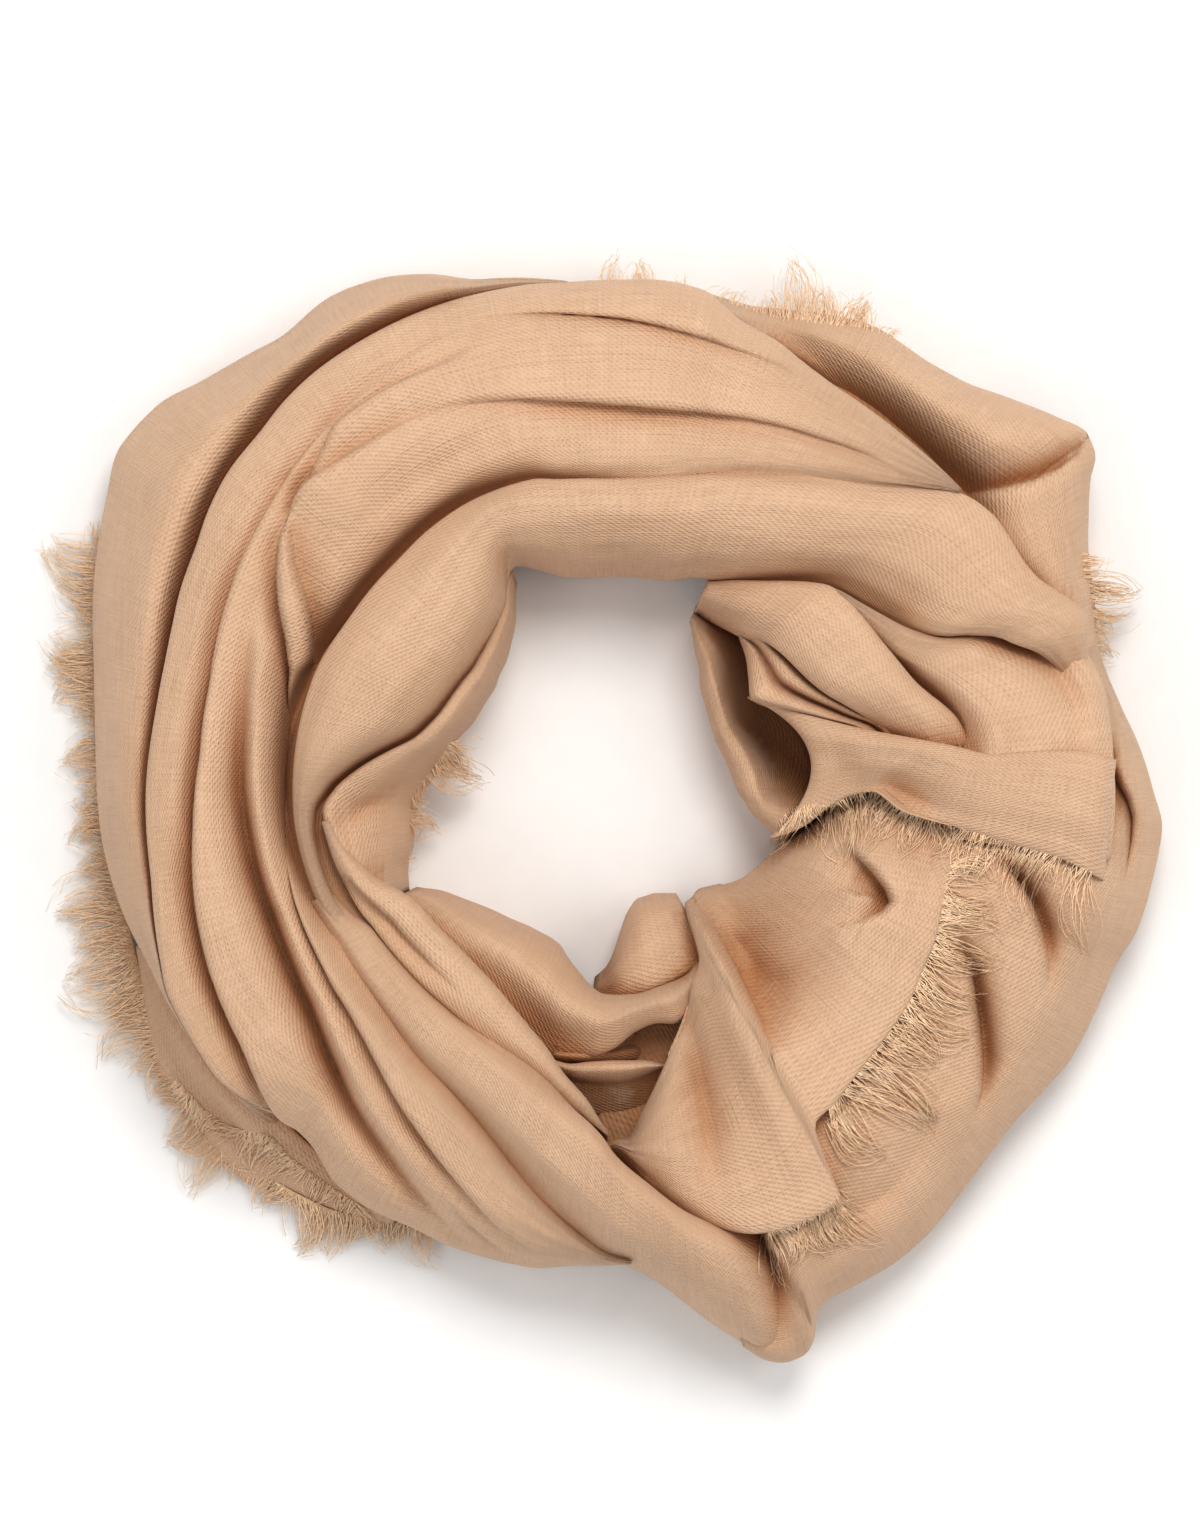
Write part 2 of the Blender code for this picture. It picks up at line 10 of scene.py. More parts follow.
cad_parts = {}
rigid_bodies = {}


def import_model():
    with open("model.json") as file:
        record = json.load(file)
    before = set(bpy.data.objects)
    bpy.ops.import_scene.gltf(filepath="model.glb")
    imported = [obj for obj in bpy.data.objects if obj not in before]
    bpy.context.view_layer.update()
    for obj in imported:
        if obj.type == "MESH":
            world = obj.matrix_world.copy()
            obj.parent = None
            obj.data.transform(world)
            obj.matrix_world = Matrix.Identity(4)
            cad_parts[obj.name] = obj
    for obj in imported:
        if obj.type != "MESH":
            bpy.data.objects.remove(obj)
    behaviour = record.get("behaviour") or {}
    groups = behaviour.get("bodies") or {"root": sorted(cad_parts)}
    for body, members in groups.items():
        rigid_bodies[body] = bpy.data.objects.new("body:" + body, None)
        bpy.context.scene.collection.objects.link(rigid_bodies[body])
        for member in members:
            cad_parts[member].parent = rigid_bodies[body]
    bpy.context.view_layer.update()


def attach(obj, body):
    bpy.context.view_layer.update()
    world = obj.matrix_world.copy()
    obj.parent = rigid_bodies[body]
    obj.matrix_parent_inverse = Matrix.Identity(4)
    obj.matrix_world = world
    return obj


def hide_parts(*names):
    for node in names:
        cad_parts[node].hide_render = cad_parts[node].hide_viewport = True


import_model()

bl_info = {
    "name": "Wound silk scarf",
    "version": (1, 0, 0),
    "blender": (4, 5, 0),
    "location": "View3D > Sidebar > Scarf",
    "description": "Models the cloth, fringe and studio of a silk scarf wound into a ring",
    "category": "Add Mesh",
}

MM = 0.001
CENTRE = np.array((5.0, 5.0))     # the ring's centre in millimetres
FULL_TURN = 2 * math.pi
GRID_ALONG = 1.9                  # millimetres between the loft's sections
GRID_ACROSS = 1.05                # millimetres between the loft's lines
SHELL = 0.5                       # thickness of the cloth, its two faces apart
TABLE = 0.6                       # height of cloth that lies on the table

# Folds that run round the ring: (angle in degrees, distance from the ring's centre in mm).
FOLDS = {
    "rim": ((95, 179.6), (100, 182.8), (105, 186), (110, 193), (115, 198), (120, 200),
            (126, 197.7), (130, 200), (135, 204), (140, 210), (145, 211.5), (150, 206),
            (155, 200.5), (160, 195), (165, 189.5), (170, 185.5), (175, 183), (180, 181.8),
            (185, 181), (190, 179.5), (195, 177.5), (200, 175), (205, 173.8), (210, 172.8),
            (215, 172), (220, 170.8), (228, 168)),
    "wrap_edge": ((38, 160.5), (50, 159.5), (60, 160.3), (65, 162.5), (70, 167), (75, 170.5),
                  (80, 178), (85, 179.5), (90, 179), (95, 179), (100, 180), (110, 180.5),
                  (120, 180), (125, 179.5), (130, 178), (135, 175.5), (140, 174.5), (145, 172),
                  (150, 168.5), (155, 166.5), (160, 164), (165, 162.5), (170, 162),
                  (180, 163), (190, 164), (195, 166), (200, 168.5), (205, 171), (215, 171),
                  (220, 168), (224, 163), (227, 161), (230, 163.5), (235, 169), (240, 170),
                  (245, 169),
                  (250, 170), (260, 170), (265, 167.5), (270, 166.5), (276, 165)),
    "roll_edge": ((8, 173), (12, 172.5), (15, 171.5), (17, 172.5), (20, 175.5), (22, 173.5),
                  (25, 168), (27, 165), (30, 163.5), (35, 163.5), (38, 162),
                  (40, 160), (45, 149), (50, 139), (55, 132.5), (60, 127), (65, 122),
                  (70, 118), (75, 114), (80, 111), (85, 109), (90, 108.5), (95, 109),
                  (100, 110), (105, 112), (115, 112.5), (125, 111.5), (135, 110), (145, 110),
                  (160, 112), (185, 112), (190, 111.5), (200, 110.5), (205, 110),
                  (215, 110.5), (220, 111), (225, 112.5), (230, 115), (235, 117.5),
                  (240, 119.5), (245, 123.5), (250, 129), (255, 137), (260, 146),
                  (265, 155.5), (270, 163.5), (276, 166)),
    "roll_foot": ((8, 165), (12, 163), (15, 160.5), (18, 155), (20, 148.5), (22, 143),
                  (23, 138), (24, 133), (25, 127),
                  (27, 121), (30, 115), (33, 111), (35, 109),
                  (37, 107.5), (40, 105.5), (43, 103.5), (47, 99), (50, 95), (55, 89),
                  (60, 84.5), (65, 81), (70, 79), (75, 76), (80, 75), (95, 75), (100, 75.5),
                  (105, 78), (110, 82.5), (114, 85.5), (117, 82), (120, 76), (125, 71),
                  (130, 68), (135, 66), (140, 64.8), (150, 65.3), (155, 66), (160, 68),
                  (165, 71.5), (170, 79.5), (175, 89), (180, 98), (184, 103.5), (190, 105),
                  (200, 104), (206, 100)),
    "hook_edge": ((114, 86), (117, 82.5), (120, 76.5), (125, 71.5), (130, 68.5), (135, 66.5),
                  (140, 65.3), (150, 65.8), (155, 66.5), (160, 68.5), (165, 72), (170, 80),
                  (175, 89.5), (180, 98), (184, 101.8), (190, 101.5), (195, 99.5),
                  (200, 96.5), (206, 91)),
    "hole_left": ((114, 83), (117, 76), (120, 69), (125, 63), (130, 59), (135, 57),
                  (140, 55), (150, 54.5), (155, 55), (160, 57), (165, 58.5), (170, 60.5),
                  (175, 63), (180, 66.5), (185, 69.5), (190, 71), (195, 73), (200, 77),
                  (206, 80)),
    "ridge_edge": ((186, 102.5), (190, 101.5), (195, 100.5), (200, 99), (205, 98),
                   (210, 96.5), (220, 95.5), (230, 95.3), (240, 97), (250, 100.5),
                   (255, 103.5), (260, 108.5), (265, 114.5), (269, 120.5)),
    "ridge_foot": ((186, 99), (190, 97), (195, 92.5), (200, 88), (205, 82), (210, 78.7),
                   (215, 77.5), (225, 76.5), (235, 78), (240, 80), (245, 83), (250, 87),
                   (255, 92), (260, 100), (265, 108), (269, 119.5)),
    "bottom_edge": ((200, 114), (205, 113.5), (215, 114), (220, 114.5), (225, 116),
                    (230, 118.5), (235, 121), (240, 123), (245, 126.5), (250, 132),
                    (255, 139), (260, 147), (265, 155.5), (269, 163), (272, 167),
                    (275, 173), (278, 182), (280, 189), (283, 199), (285, 207),
                    (287, 210), (290, 205)),
    "bottom_foot": ((200, 104), (205, 100.5), (210, 96.5), (220, 95.5), (230, 95.3),
                    (240, 97), (250, 100.5), (255, 103.5), (260, 108.5), (265, 114.5),
                    (268, 120), (270, 126), (275, 137), (280, 149), (285, 158),
                    (287, 161), (290, 160)),
    "lower_edge": ((206, 86), (215, 82), (225, 80.5), (235, 82), (245, 87), (252, 92),
                   (258, 95), (262, 94), (265, 93.5), (270, 90), (275, 84.5), (280, 82.5),
                   (285, 84), (288, 82), (291, 78), (296, 73)),
    "lower_foot": ((206, 77), (210, 70), (215, 65.5), (220, 62), (225, 59.5), (230, 58),
                   (240, 56), (245, 56), (250, 57), (255, 61), (260, 65.5), (263, 68.5),
                   (267, 71), (275, 71.2), (283, 70), (291, 69), (296, 66)),
    "hole_roll_edge": ((264, 74), (301, 66)),
    "hole_roll_foot": ((264, 66), (268, 61), (270, 56), (273, 48), (276, 43), (283, 38.6),
                       (290, 38.5), (296, 40), (301, 42)),
    "pocket_edge": ((252, 97), (256, 99.5), (260, 101.5), (265, 103), (270, 103),
                    (276, 101), (281, 98)),
    "pocket_foot": ((252, 92), (256, 95.5), (260, 96.5), (265, 94.8), (270, 94), (276, 94.5),
                    (281, 97.5)),
    "pleat_edge": ((257, 96), (270, 95), (281, 94)),
    "pleat_foot": ((257, 90), (265, 86), (275, 83), (281, 82)),
    "end_edge": ((-93, 127), (-90, 125), (-85, 137.5), (-80, 149.5), (-75, 158.5),
                 (-72, 162), (-68, 163.5), (-62, 163.5), (-60.6, 160), (-59.8, 140),
                 (-58.5, 134.5), (-55, 133), (-50, 130), (-45, 128), (-40, 127), (-35, 126),
                 (-30, 124), (-25, 123), (-20, 121), (-14, 119.5), (-10, 119.5), (-4, 122),
                 (3, 126)),
    "end_foot": ((-93, 122), (-88, 121), (-85, 112), (-80, 98), (-77, 91), (-75, 87),
                 (-72, 81), (-68, 72), (-65, 68.5), (-63, 64.5), (-61.3, 57), (-60, 50.5),
                 (-57.5, 46), (-50, 46), (-45, 48), (-35, 54), (-25, 58), (-18, 61),
                 (-14, 65), (-10, 70), (-4, 76), (3, 82)),
    "panel_edge": ((-77, 200), (-75, 207), (-73, 209.5), (-71.5, 209), (-70, 205),
                   (-68.5, 196), (-67, 193.5), (-60, 193),
                   (-55, 191), (-50, 187), (-45, 184), (-40, 182.5), (-35, 184),
                   (-30, 186), (-20, 186), (-15, 190), (-10, 191.5), (-4, 193), (0, 189.5),
                   (5, 185), (10, 180), (14.5, 177.5), (19, 177)),
    "panel_foot": ((-77, 148), (-71.5, 150), (-65, 140), (-60, 130), (-57, 126), (-50, 122),
                   (-40, 118), (-30, 114), (-20, 112), (-14, 112), (-8, 116), (-5, 126),
                   (0, 150), (14.5, 166), (19, 166)),
    "shoulder_edge": ((-8, 174), (-5, 174.5), (5, 174), (8, 173.5), (12, 173), (15, 171),
                      (18, 165), (20, 157), (22, 149), (23, 142), (24, 135), (25, 128),
                      (27, 121), (30, 115.5), (33, 112), (35, 110), (38, 107.5),
                      (41, 105.5), (44, 103)),
    "shoulder_foot": ((-8, 120), (5, 121), (7, 122), (10, 121.5), (12, 120), (15, 116),
                      (17, 113), (20, 109.5), (25, 106.5), (30, 104.5), (35, 103.5),
                      (40, 103), (44, 101)),
    "twist_edge": ((7, 125), (10, 123.5), (12, 122), (15, 118), (17, 115), (20, 111.5),
                   (25, 108.5), (30, 106.5), (35, 105.5), (40, 105), (43, 104), (47, 99.5),
                   (50, 95.5), (55, 89.5), (60, 85), (66, 80)),
    "twist_foot": ((7, 102), (11, 99), (12, 97), (15, 93), (17, 90), (20, 86), (25, 80.5),
                   (30, 77.5), (35, 76), (40, 75), (45, 73.5), (50, 69.5), (55, 68.5),
                   (60, 68), (66, 68.5)),
    "small_edge": ((4, 108), (10, 101), (14, 97), (17, 91), (20, 87), (25, 81.5),
                   (30, 78.5), (40, 76), (45, 75),
                   (51, 71)),
    "small_foot": ((4, 98), (10, 93), (14, 88), (19, 77), (26, 65.5), (30, 60.5),
                   (34, 57.5), (40, 61),
                   (45, 65), (51, 69)),
    "wall_edge": ((-16.5, 61), (-14, 62), (-10, 64), (-5, 67), (0, 69), (5, 70), (10, 69),
                  (20, 66), (30, 62), (40, 64), (50, 69), (66, 68)),
    "wall_foot": ((-16.5, 59), (-14, 56), (-10, 49.5), (-5, 46), (0, 43), (10, 41), (20, 39.8),
                  (25, 39.5), (30, 40), (35, 41), (40, 42.5), (45, 44.5), (50, 47),
                  (55, 52), (60, 56.5), (66, 65)),
    "corner_edge": ((14.5, 177.5), (17, 178), (20, 180), (23, 183), (26, 185.5), (30, 192),
                    (33, 199), (35, 206), (37, 207.5), (40, 203), (45, 195), (50, 188.5),
                    (55, 186.5), (60, 187), (65, 184), (70, 180), (75, 177), (80, 178)),
    "corner_foot": ((14.5, 170), (20, 166), (25, 164), (30, 161), (40, 158), (50, 157),
                    (60, 158), (70, 164), (80, 174)),
    "hem_edge": ((198, 180), (205, 186), (212, 190), (218, 190), (226, 190), (230, 186),
                 (238, 180), (243, 174)),
    "hem_foot": ((198, 168), (205, 167), (215, 167), (225, 164), (243, 166)),
}

# Edges of the upper end, from the hole out to the shoulder: (column, angle, distance).
END_EDGES = {
    "end_top": ((-1, 33, 61), (0, 35, 57), (1, 26, 66), (2, 19, 77), (3, 14, 89.5),
                (4, 10.6, 103), (5, 7.6, 119), (6, 5.6, 132), (7, 5.4, 147), (8, 5, 161),
                (9, 4, 171), (10, 3.5, 175), (11, 3.5, 174)),
    "end_fringed": ((-1, -15, 60), (0, -17, 57), (1, -11.2, 66.5), (2, -3.8, 76),
                    (3, -0.9, 83.5), (4, -0.2, 90), (5, -4.2, 101), (6, -6.2, 120),
                    (7, -7.6, 138), (8, -8.6, 156), (9, -10, 169), (10, -10.5, 173.5),
                    (11, -10.5, 173)),
}

# Stretches: the flat size in metres of what shows, as measured on an earlier build of the
# stretch, the CAD nodes it stands for, the angles of the columns, the outer and inner fold,
# the foot below the outer edge (heights, lean outwards in mm), a row for each line across
# (share, heights), and the foot below the inner edge. Heights are in millimetres, one for
# each column or one for all.
STRETCHES = {
    "left_band": dict(
        cut=(0.097, 0.42), nodes=("left_band",),
        at=(95, 112, 128, 145, 162, 178, 194, 210, 219, 227),
        edge="rim", inner="wrap_edge",
        foot_out=((1,), (-1, -4, -5, -5, -5, -5, -5, -5, -4, -1)),
        rows=((0.0, (8, 24, 22, 20, 18, 18, 18, 18, 18, 8)),
              (0.08, (10, 32, 30, 29, 28, 29, 29, 26, 26, 10)),
              (0.35, (14, 46, 47, 46, 45, 46, 45, 39, 34, 12)),
              (0.7, (16, 57, 61, 61, 58, 56, 54, 47, 38, 12)),
              (0.88, (17, 55, 59, 62, 61, 59, 57, 50, 40, 12)),
              (1.0, (16, 48, 49, 52, 55, 56, 53, 46, 38, 12))),
        foot_in=((12, 32, 28, 28, 32, 40, 44, 40, 32, 8), (-7,))),
    "wrap": dict(
        cut=(0.13, 0.607), nodes=("left_pleats", "top_bands"),
        at=(41, 60, 79, 99, 118, 138, 158, 177, 197, 216, 236, 256, 272),
        edge="wrap_edge", inner="roll_edge",
        foot_out=((50, 46, 1, 1, 44, 48, 50, 44, 24, 1, 1, 1, 1), (-4,)),
        rows=((0.0, (61, 60, 40, 34, 57, 62, 65, 65, 63, 58, 28, 24, 22)),
              (0.1, (63, 64, 56, 52, 65, 68, 69, 69, 67, 63, 43, 38, 34)),
              (0.35, (64, 68, 68, 68, 72, 73, 73, 73, 72, 69, 60, 53, 44)),
              (0.65, (65, 70, 72, 73, 74, 75, 75, 75, 75, 73, 68, 61, 50)),
              (0.9, (65, 70, 73, 73, 71, 70, 70, 71, 72, 72, 70, 63, 52)),
              (1.0, (64, 69, 71, 66, 57, 53, 51, 53, 58, 64, 66, 60, 50))),
        foot_in=((56, 60, 62, 52, 42, 38, 36, 40, 48, 54, 58, 50, 40), (-8,))),
    "roll": dict(
        cut=(0.081, 0.388), nodes=("inner_roll", "main_band"),
        at=(12, 16, 20, 24, 33, 42, 60, 78, 96, 114, 132, 150, 168, 187, 206),
        edge="roll_edge", inner="roll_foot",
        foot_out=((33, 36, 40, 42, 48, 54, 58, 60, 60, 56, 54, 54, 54, 52, 48), (-3,)),
        rows=((0.0, (45, 53, 57, 56, 59, 64, 69, 71, 71, 69, 68, 68, 66, 62, 58)),
              (0.06, (47, 56, 62, 61, 63, 67, 72, 74, 74, 73, 72, 72, 70, 64, 60)),
              (0.3, (50, 60, 67, 69, 71, 74, 78, 78, 77, 79, 80, 80, 76, 67, 62)),
              (0.62, (51, 61, 69, 70, 67, 70, 74, 71, 68, 74, 78, 78, 74, 66, 61)),
              (0.88, (51, 61, 68, 68, 57, 59, 60, 55, 52, 60, 68, 68, 65, 61, 58)),
              (1.0, (48, 58, 66, 64, 51, 52, 48, 36, 30, 44, 55, 56, 56, 57, 55))),
        foot_in=((42, 50, 54, 50, 45, 44, 36, 1, 1, 20, 46, 46, 48, 54, 52),
                 (3, 3, 3, 1, -6, -6, -3, 6, 6, 2, -6, -6, -8, -9, -9))),
    "hook": dict(
        cut=(0.081, 0.129), nodes=("hook_fold", "hole_flap"),
        at=(115, 130, 147, 162, 176, 190, 206),
        edge="hook_edge", inner="hole_left",
        foot_out=((34, 44, 46, 48, 52, 54, 50), (-2,)),
        rows=((0.0, (44, 54, 55, 57, 61, 62, 59)),
              (0.08, (46, 57, 60, 62, 65, 65, 60)),
              (0.35, (44, 58, 61, 62, 62, 58, 52)),
              (0.7, (36, 48, 52, 51, 47, 42, 38)),
              (0.93, (28, 34, 36, 34, 28, 24, 24)),
              (1.0, (20, 22, 24, 22, 16, 13, 14))),
        foot_in=((1,), (5,))),
    "ridge": dict(
        cut=(0.044, 0.149), nodes=("hook_ridge",), at=(186, 202, 219, 236, 253, 269),
        edge="ridge_edge", inner="ridge_foot",
        foot_out=((54, 50, 52, 54, 54, 50), (-2,)),
        rows=((0.0, (63, 61, 62, 64, 63, 59)),
              (0.12, (65, 64, 65, 66, 65, 60)),
              (0.45, (66, 66, 67, 69, 67, 61)),
              (0.85, (64, 65, 67, 68, 66, 60)),
              (1.0, (60, 60, 61, 62, 60, 57))),
        foot_in=((50, 46, 46, 47, 47, 48), (5,))),
    "bottom_roll": dict(
        cut=(0.078, 0.225), nodes=("bottom_roll",),
        at=(200, 215, 229, 243, 257, 268, 278, 284, 289),
        edge="bottom_edge", inner="bottom_foot",
        foot_out=((50, 48, 48, 46, 40, 24, 1, 1, 1), (4, 4, 4, 3, 0, -4, -4, -4, -4)),
        rows=((0.0, (55, 54, 54, 53, 52, 44, 20, 18, 12)),
              (0.12, (57, 58, 59, 60, 60, 58, 42, 36, 20)),
              (0.45, (61, 66, 70, 73, 75, 75, 66, 58, 30)),
              (0.8, (58, 65, 70, 74, 78, 78, 74, 68, 36)),
              (0.95, (57, 62, 66, 70, 73, 74, 71, 64, 36)),
              (1.0, (55, 60, 63, 66, 68, 67, 65, 58, 36))),
        foot_in=((51, 57, 60, 62, 60, 50, 40, 36, 30), (-6, -6, -6, -6, -4, 3, 4, 4, 4))),
    "lower_roll": dict(
        cut=(0.075, 0.117), nodes=("lower_roll",), at=(206, 223, 240, 257, 274, 296),
        edge="lower_edge", inner="lower_foot",
        foot_out=((38, 40, 40, 40, 36, 38), (4, 4, 4, 3, -2, -2)),
        rows=((0.0, (50, 54, 49, 43, 50, 50)),
              (0.25, (54, 57, 53, 50, 57, 55)),
              (0.55, (54, 57, 57, 60, 61, 57)),
              (0.85, (40, 43, 45, 52, 56, 54)),
              (1.0, (22, 20, 20, 32, 48, 46))),
        foot_in=((1, 1, 1, 12, 36, 34), (5, 5, 5, 4, 3, 3))),
    "hole_roll": dict(
        cut=(0.068, 0.046), nodes=("hole_roll",), at=(264, 273, 282, 292, 301),
        edge="hole_roll_edge", inner="hole_roll_foot",
        foot_out=((20, 36, 40, 40, 36), (3,)),
        rows=((0.0, (26, 42, 46, 46, 42)),
              (0.3, (26, 43, 47, 47, 43)),
              (0.7, (18, 37, 43, 43, 38)),
              (0.93, (10, 27, 32, 32, 28)),
              (1.0, (6, 16, 20, 20, 18))),
        foot_in=((1,), (4,))),
    "pocket": dict(
        cut=(0.056, 0.052), nodes=("pocket_band",), at=(252, 260, 268, 275, 281),
        edge="pocket_edge", inner="pocket_foot",
        foot_out=((36, 34, 33, 33, 34), (11,)),
        rows=((0.0, (46, 44, 42, 42, 42)),
              (0.25, (50, 50, 49, 48, 47)),
              (0.7, (54, 55, 55, 54, 51)),
              (1.0, (50, 50, 50, 49, 46))),
        foot_in=((36,), (4,))),
    "pocket_pleat": dict(
        cut=(0.052, 0.038), nodes=(), at=(257, 265, 273, 281),
        edge="pleat_edge", inner="pleat_foot",
        foot_out=((24,), (2,)),
        rows=((0.0, (44, 42, 36, 22)),
              (0.3, (48, 47, 40, 22)),
              (0.55, (42, 41, 35, 18)),
              (0.78, (47, 46, 39, 18)),
              (1.0, (42, 40, 34, 16))),
        foot_in=((24, 24, 20, 10), (-2,))),
    "end_lower": dict(
        cut=(0.109, 0.197), nodes=("end_lower",),
        at=(-93, -86, -80, -74, -68, -62, -56, -50, -44, -38, -32, -26, -20, -14, -6, 3),
        edge="end_edge", inner="end_foot",
        foot_out=((40, 42, 44, 38, 54, 57, 58, 59, 60, 61, 62, 63, 64, 62, 56, 50),
                  (7, 7, 6, 1, -1, -1, -1, -1, -1, -1, -1, -1, -1, -1, -1, -1)),
        rows=((0.0, (55, 58, 61, 64, 67, 68, 68, 67, 67, 67, 67, 69, 69, 66, 60, 52)),
              (0.12, (57, 61, 65, 67, 69, 70, 70, 69, 69, 69, 69, 70, 70, 67, 61, 52)),
              (0.42, (58, 64, 68, 69, 68, 72, 70, 69, 70, 71, 71, 72, 71, 68, 60, 52)),
              (0.7, (56, 61, 65, 65, 64, 69, 65, 53, 51, 53, 56, 59, 61, 60, 55, 50)),
              (0.9, (52, 56, 60, 61, 62, 64, 50, 37, 34, 36, 39, 42, 44, 45, 46, 46)),
              (1.0, (47, 50, 54, 56, 58, 58, 28, 18, 16, 18, 20, 19, 22, 29, 36, 36))),
        foot_in=((38, 36, 36, 38, 40, 36, 1, 1, 1, 1, 1, 1, 1, 1, 10, 20), (4,))),
    "right_panel": dict(
        cut=(0.121, 0.284), nodes=("right_panel", "right_edge"),
        at=(-77, -74, -72, -70, -68.5, -62, -54, -45, -37, -29, -21, -13, -6, 1, 19),
        edge="panel_edge", inner="panel_foot",
        foot_out=((1,), (-6,)),
        rows=((0.0, (24, 26, 27, 30, 28, 22, 22, 22, 22, 22, 22, 22, 22, 22, 20)),
              (0.06, (30, 34, 36, 42, 39, 34, 34, 34, 34, 34, 34, 34, 33, 31, 27)),
              (0.28, (31, 35, 40, 51, 52, 52, 54, 54, 54, 56, 58, 63, 59, 47, 36)),
              (0.6, (32, 36, 41, 55, 58, 58, 60, 60, 61, 63, 66, 69, 66, 50, 42)),
              (0.88, (34, 38, 43, 56, 59, 60, 61, 62, 63, 65, 68, 69, 62, 50, 42)),
              (1.0, (34, 38, 43, 54, 57, 58, 59, 61, 62, 64, 65, 64, 56, 48, 40))),
        foot_in=((26, 30, 34, 48, 50, 50, 50, 52, 54, 54, 56, 56, 50, 42, 34), (-6,))),
    "shoulder": dict(
        cut=(0.066, 0.134), nodes=("right_shoulder",), at=(-8, 2, 10, 17, 21, 24, 30, 37, 44),
        edge="shoulder_edge", inner="shoulder_foot",
        foot_out=((44, 38, 34, 36, 42, 46, 52, 54, 54), (-4, 0, 2, 3, 5, 4, -4, -4, -4)),
        rows=((0.0, (60, 62, 60, 58, 58, 58, 61, 63, 62)),
              (0.08, (63, 66, 66, 62, 60, 62, 64, 65, 64)),
              (0.4, (68, 72, 73, 69, 68, 67, 67, 67, 65)),
              (0.8, (68, 72, 74, 71, 70, 68, 66, 66, 64)),
              (1.0, (64, 66, 64, 59, 58, 58, 58, 59, 59))),
        foot_in=((54, 56, 54, 50, 50, 49, 50, 51, 51), (-6,))),
    "twist": dict(
        cut=(0.065, 0.101), nodes=("twist_band",), at=(7, 14, 22, 32, 42, 52, 66),
        edge="twist_edge", inner="twist_foot",
        foot_out=((50, 54, 55, 55, 54, 48, 38), (-2,)),
        rows=((0.0, (60, 64, 66, 66, 64, 58, 46)),
              (0.08, (62, 67, 69, 69, 67, 61, 48)),
              (0.45, (62, 69, 72, 72, 70, 61, 46)),
              (0.82, (58, 65, 69, 70, 67, 52, 34)),
              (1.0, (52, 59, 63, 64, 60, 38, 20))),
        foot_in=((44, 48, 50, 50, 44, 1, 1), (4,))),
    "end_upper": dict(
        cut=(0.065, 0.123), nodes=("end_upper",), at=(-1, 0, 1, 2, 3, 4, 5, 6, 7, 8, 9, 10, 11),
        edge="end_top", inner="end_fringed", bow=(15, 18, 9, 5, 2, 0, 0, 0, 0, 0, 0, 0, 0),
        foot_out=((20, 30, 44, 48, 50, 52, 54, 62, 66, 66, 62, 52, 40), (-3,)),
        rows=((0.0, (36, 46, 56, 61, 64, 66, 69, 72.5, 73, 72, 69, 60, 48)),
              (0.1, (38, 49, 59, 64, 67, 70, 73, 74.5, 74.5, 73.5, 70.5, 61, 48)),
              (0.25, (38, 51, 60, 65, 69, 72, 75, 76.3, 76.5, 75.5, 72, 62, 48)),
              (0.5, (38, 51, 58, 62, 67, 71, 75, 76.5, 77, 76, 73, 63, 48)),
              (0.8, (38, 50, 54, 57, 61, 67, 72.5, 74, 74, 73, 70, 60, 47)),
              (1.0, (38, 50, 53, 55, 59, 64, 69, 70, 70, 69, 66, 57, 46))),
        foot_in=((36, 48, 50, 51, 55, 60, 62, 62, 62, 61, 59, 50, 40), (2,))),
    "small": dict(
        cut=(0.046, 0.08), nodes=("small_folds",), at=(4, 14, 24, 34, 44, 51),
        edge="small_edge", inner="small_foot",
        foot_out=((42, 48, 48, 48, 48, 48), (3,)),
        rows=((0.0, (48, 56, 54, 53, 50, 48)),
              (0.18, (52, 61, 61, 60, 55, 50)),
              (0.32, (52, 60, 60, 59, 53, 48)),
              (0.44, (48, 55, 53, 52, 48, 45)),
              (0.62, (50, 60, 60, 59, 52, 46)),
              (0.86, (50, 62, 62, 60, 50, 42)),
              (1.0, (48, 58, 57, 54, 45, 38))),
        foot_in=((40, 46, 44, 40, 34, 28), (3,))),
    "inner_wall": dict(
        cut=(0.089, 0.087), nodes=("inner_wall",), at=(-16.5, -7, 0, 8, 20, 32, 44, 56, 66),
        edge="wall_edge", inner="wall_foot",
        foot_out=((4,), (3,)),
        rows=((0.0, (44, 38, 16, 8, 7, 8, 12, 20, 26)),
              (0.35, (46, 44, 28, 15, 12, 14, 20, 30, 34)),
              (0.6, (44, 44, 36, 29, 27, 30, 34, 40, 38)),
              (0.75, (42, 42, 40, 38, 38, 40, 42, 42, 38)),
              (0.92, (34, 35, 35, 35, 35, 37, 37, 34, 32)),
              (1.0, (22, 22, 22, 22, 22, 24, 22, 22, 22))),
        foot_in=((1,), (5,))),
    "corner": dict(
        cut=(0.086, 0.215), nodes=("corner_flap",),
        at=(14.5, 20, 27, 33, 37, 42, 48, 56, 64, 72, 80),
        edge="corner_edge", inner="corner_foot",
        foot_out=((1, 1, 1, 4, 10, 8, 1, 1, 1, 1, 1), (-5,)),
        rows=((0.0, (16, 18, 24, 34, 42, 34, 26, 22, 20, 18, 18)),
              (0.12, (24, 30, 38, 46, 52, 48, 40, 34, 30, 26, 24)),
              (0.45, (35, 43, 51, 55, 57, 57, 53, 48, 42, 34, 30)),
              (0.78, (42, 48, 54, 55, 54, 50, 46, 42, 40, 37, 34)),
              (1.0, (42, 48, 52, 52, 46, 36, 30, 28, 32, 34, 34))),
        foot_in=((36, 42, 46, 44, 38, 28, 22, 20, 24, 26, 26), (-5,))),
    "under_hem": dict(
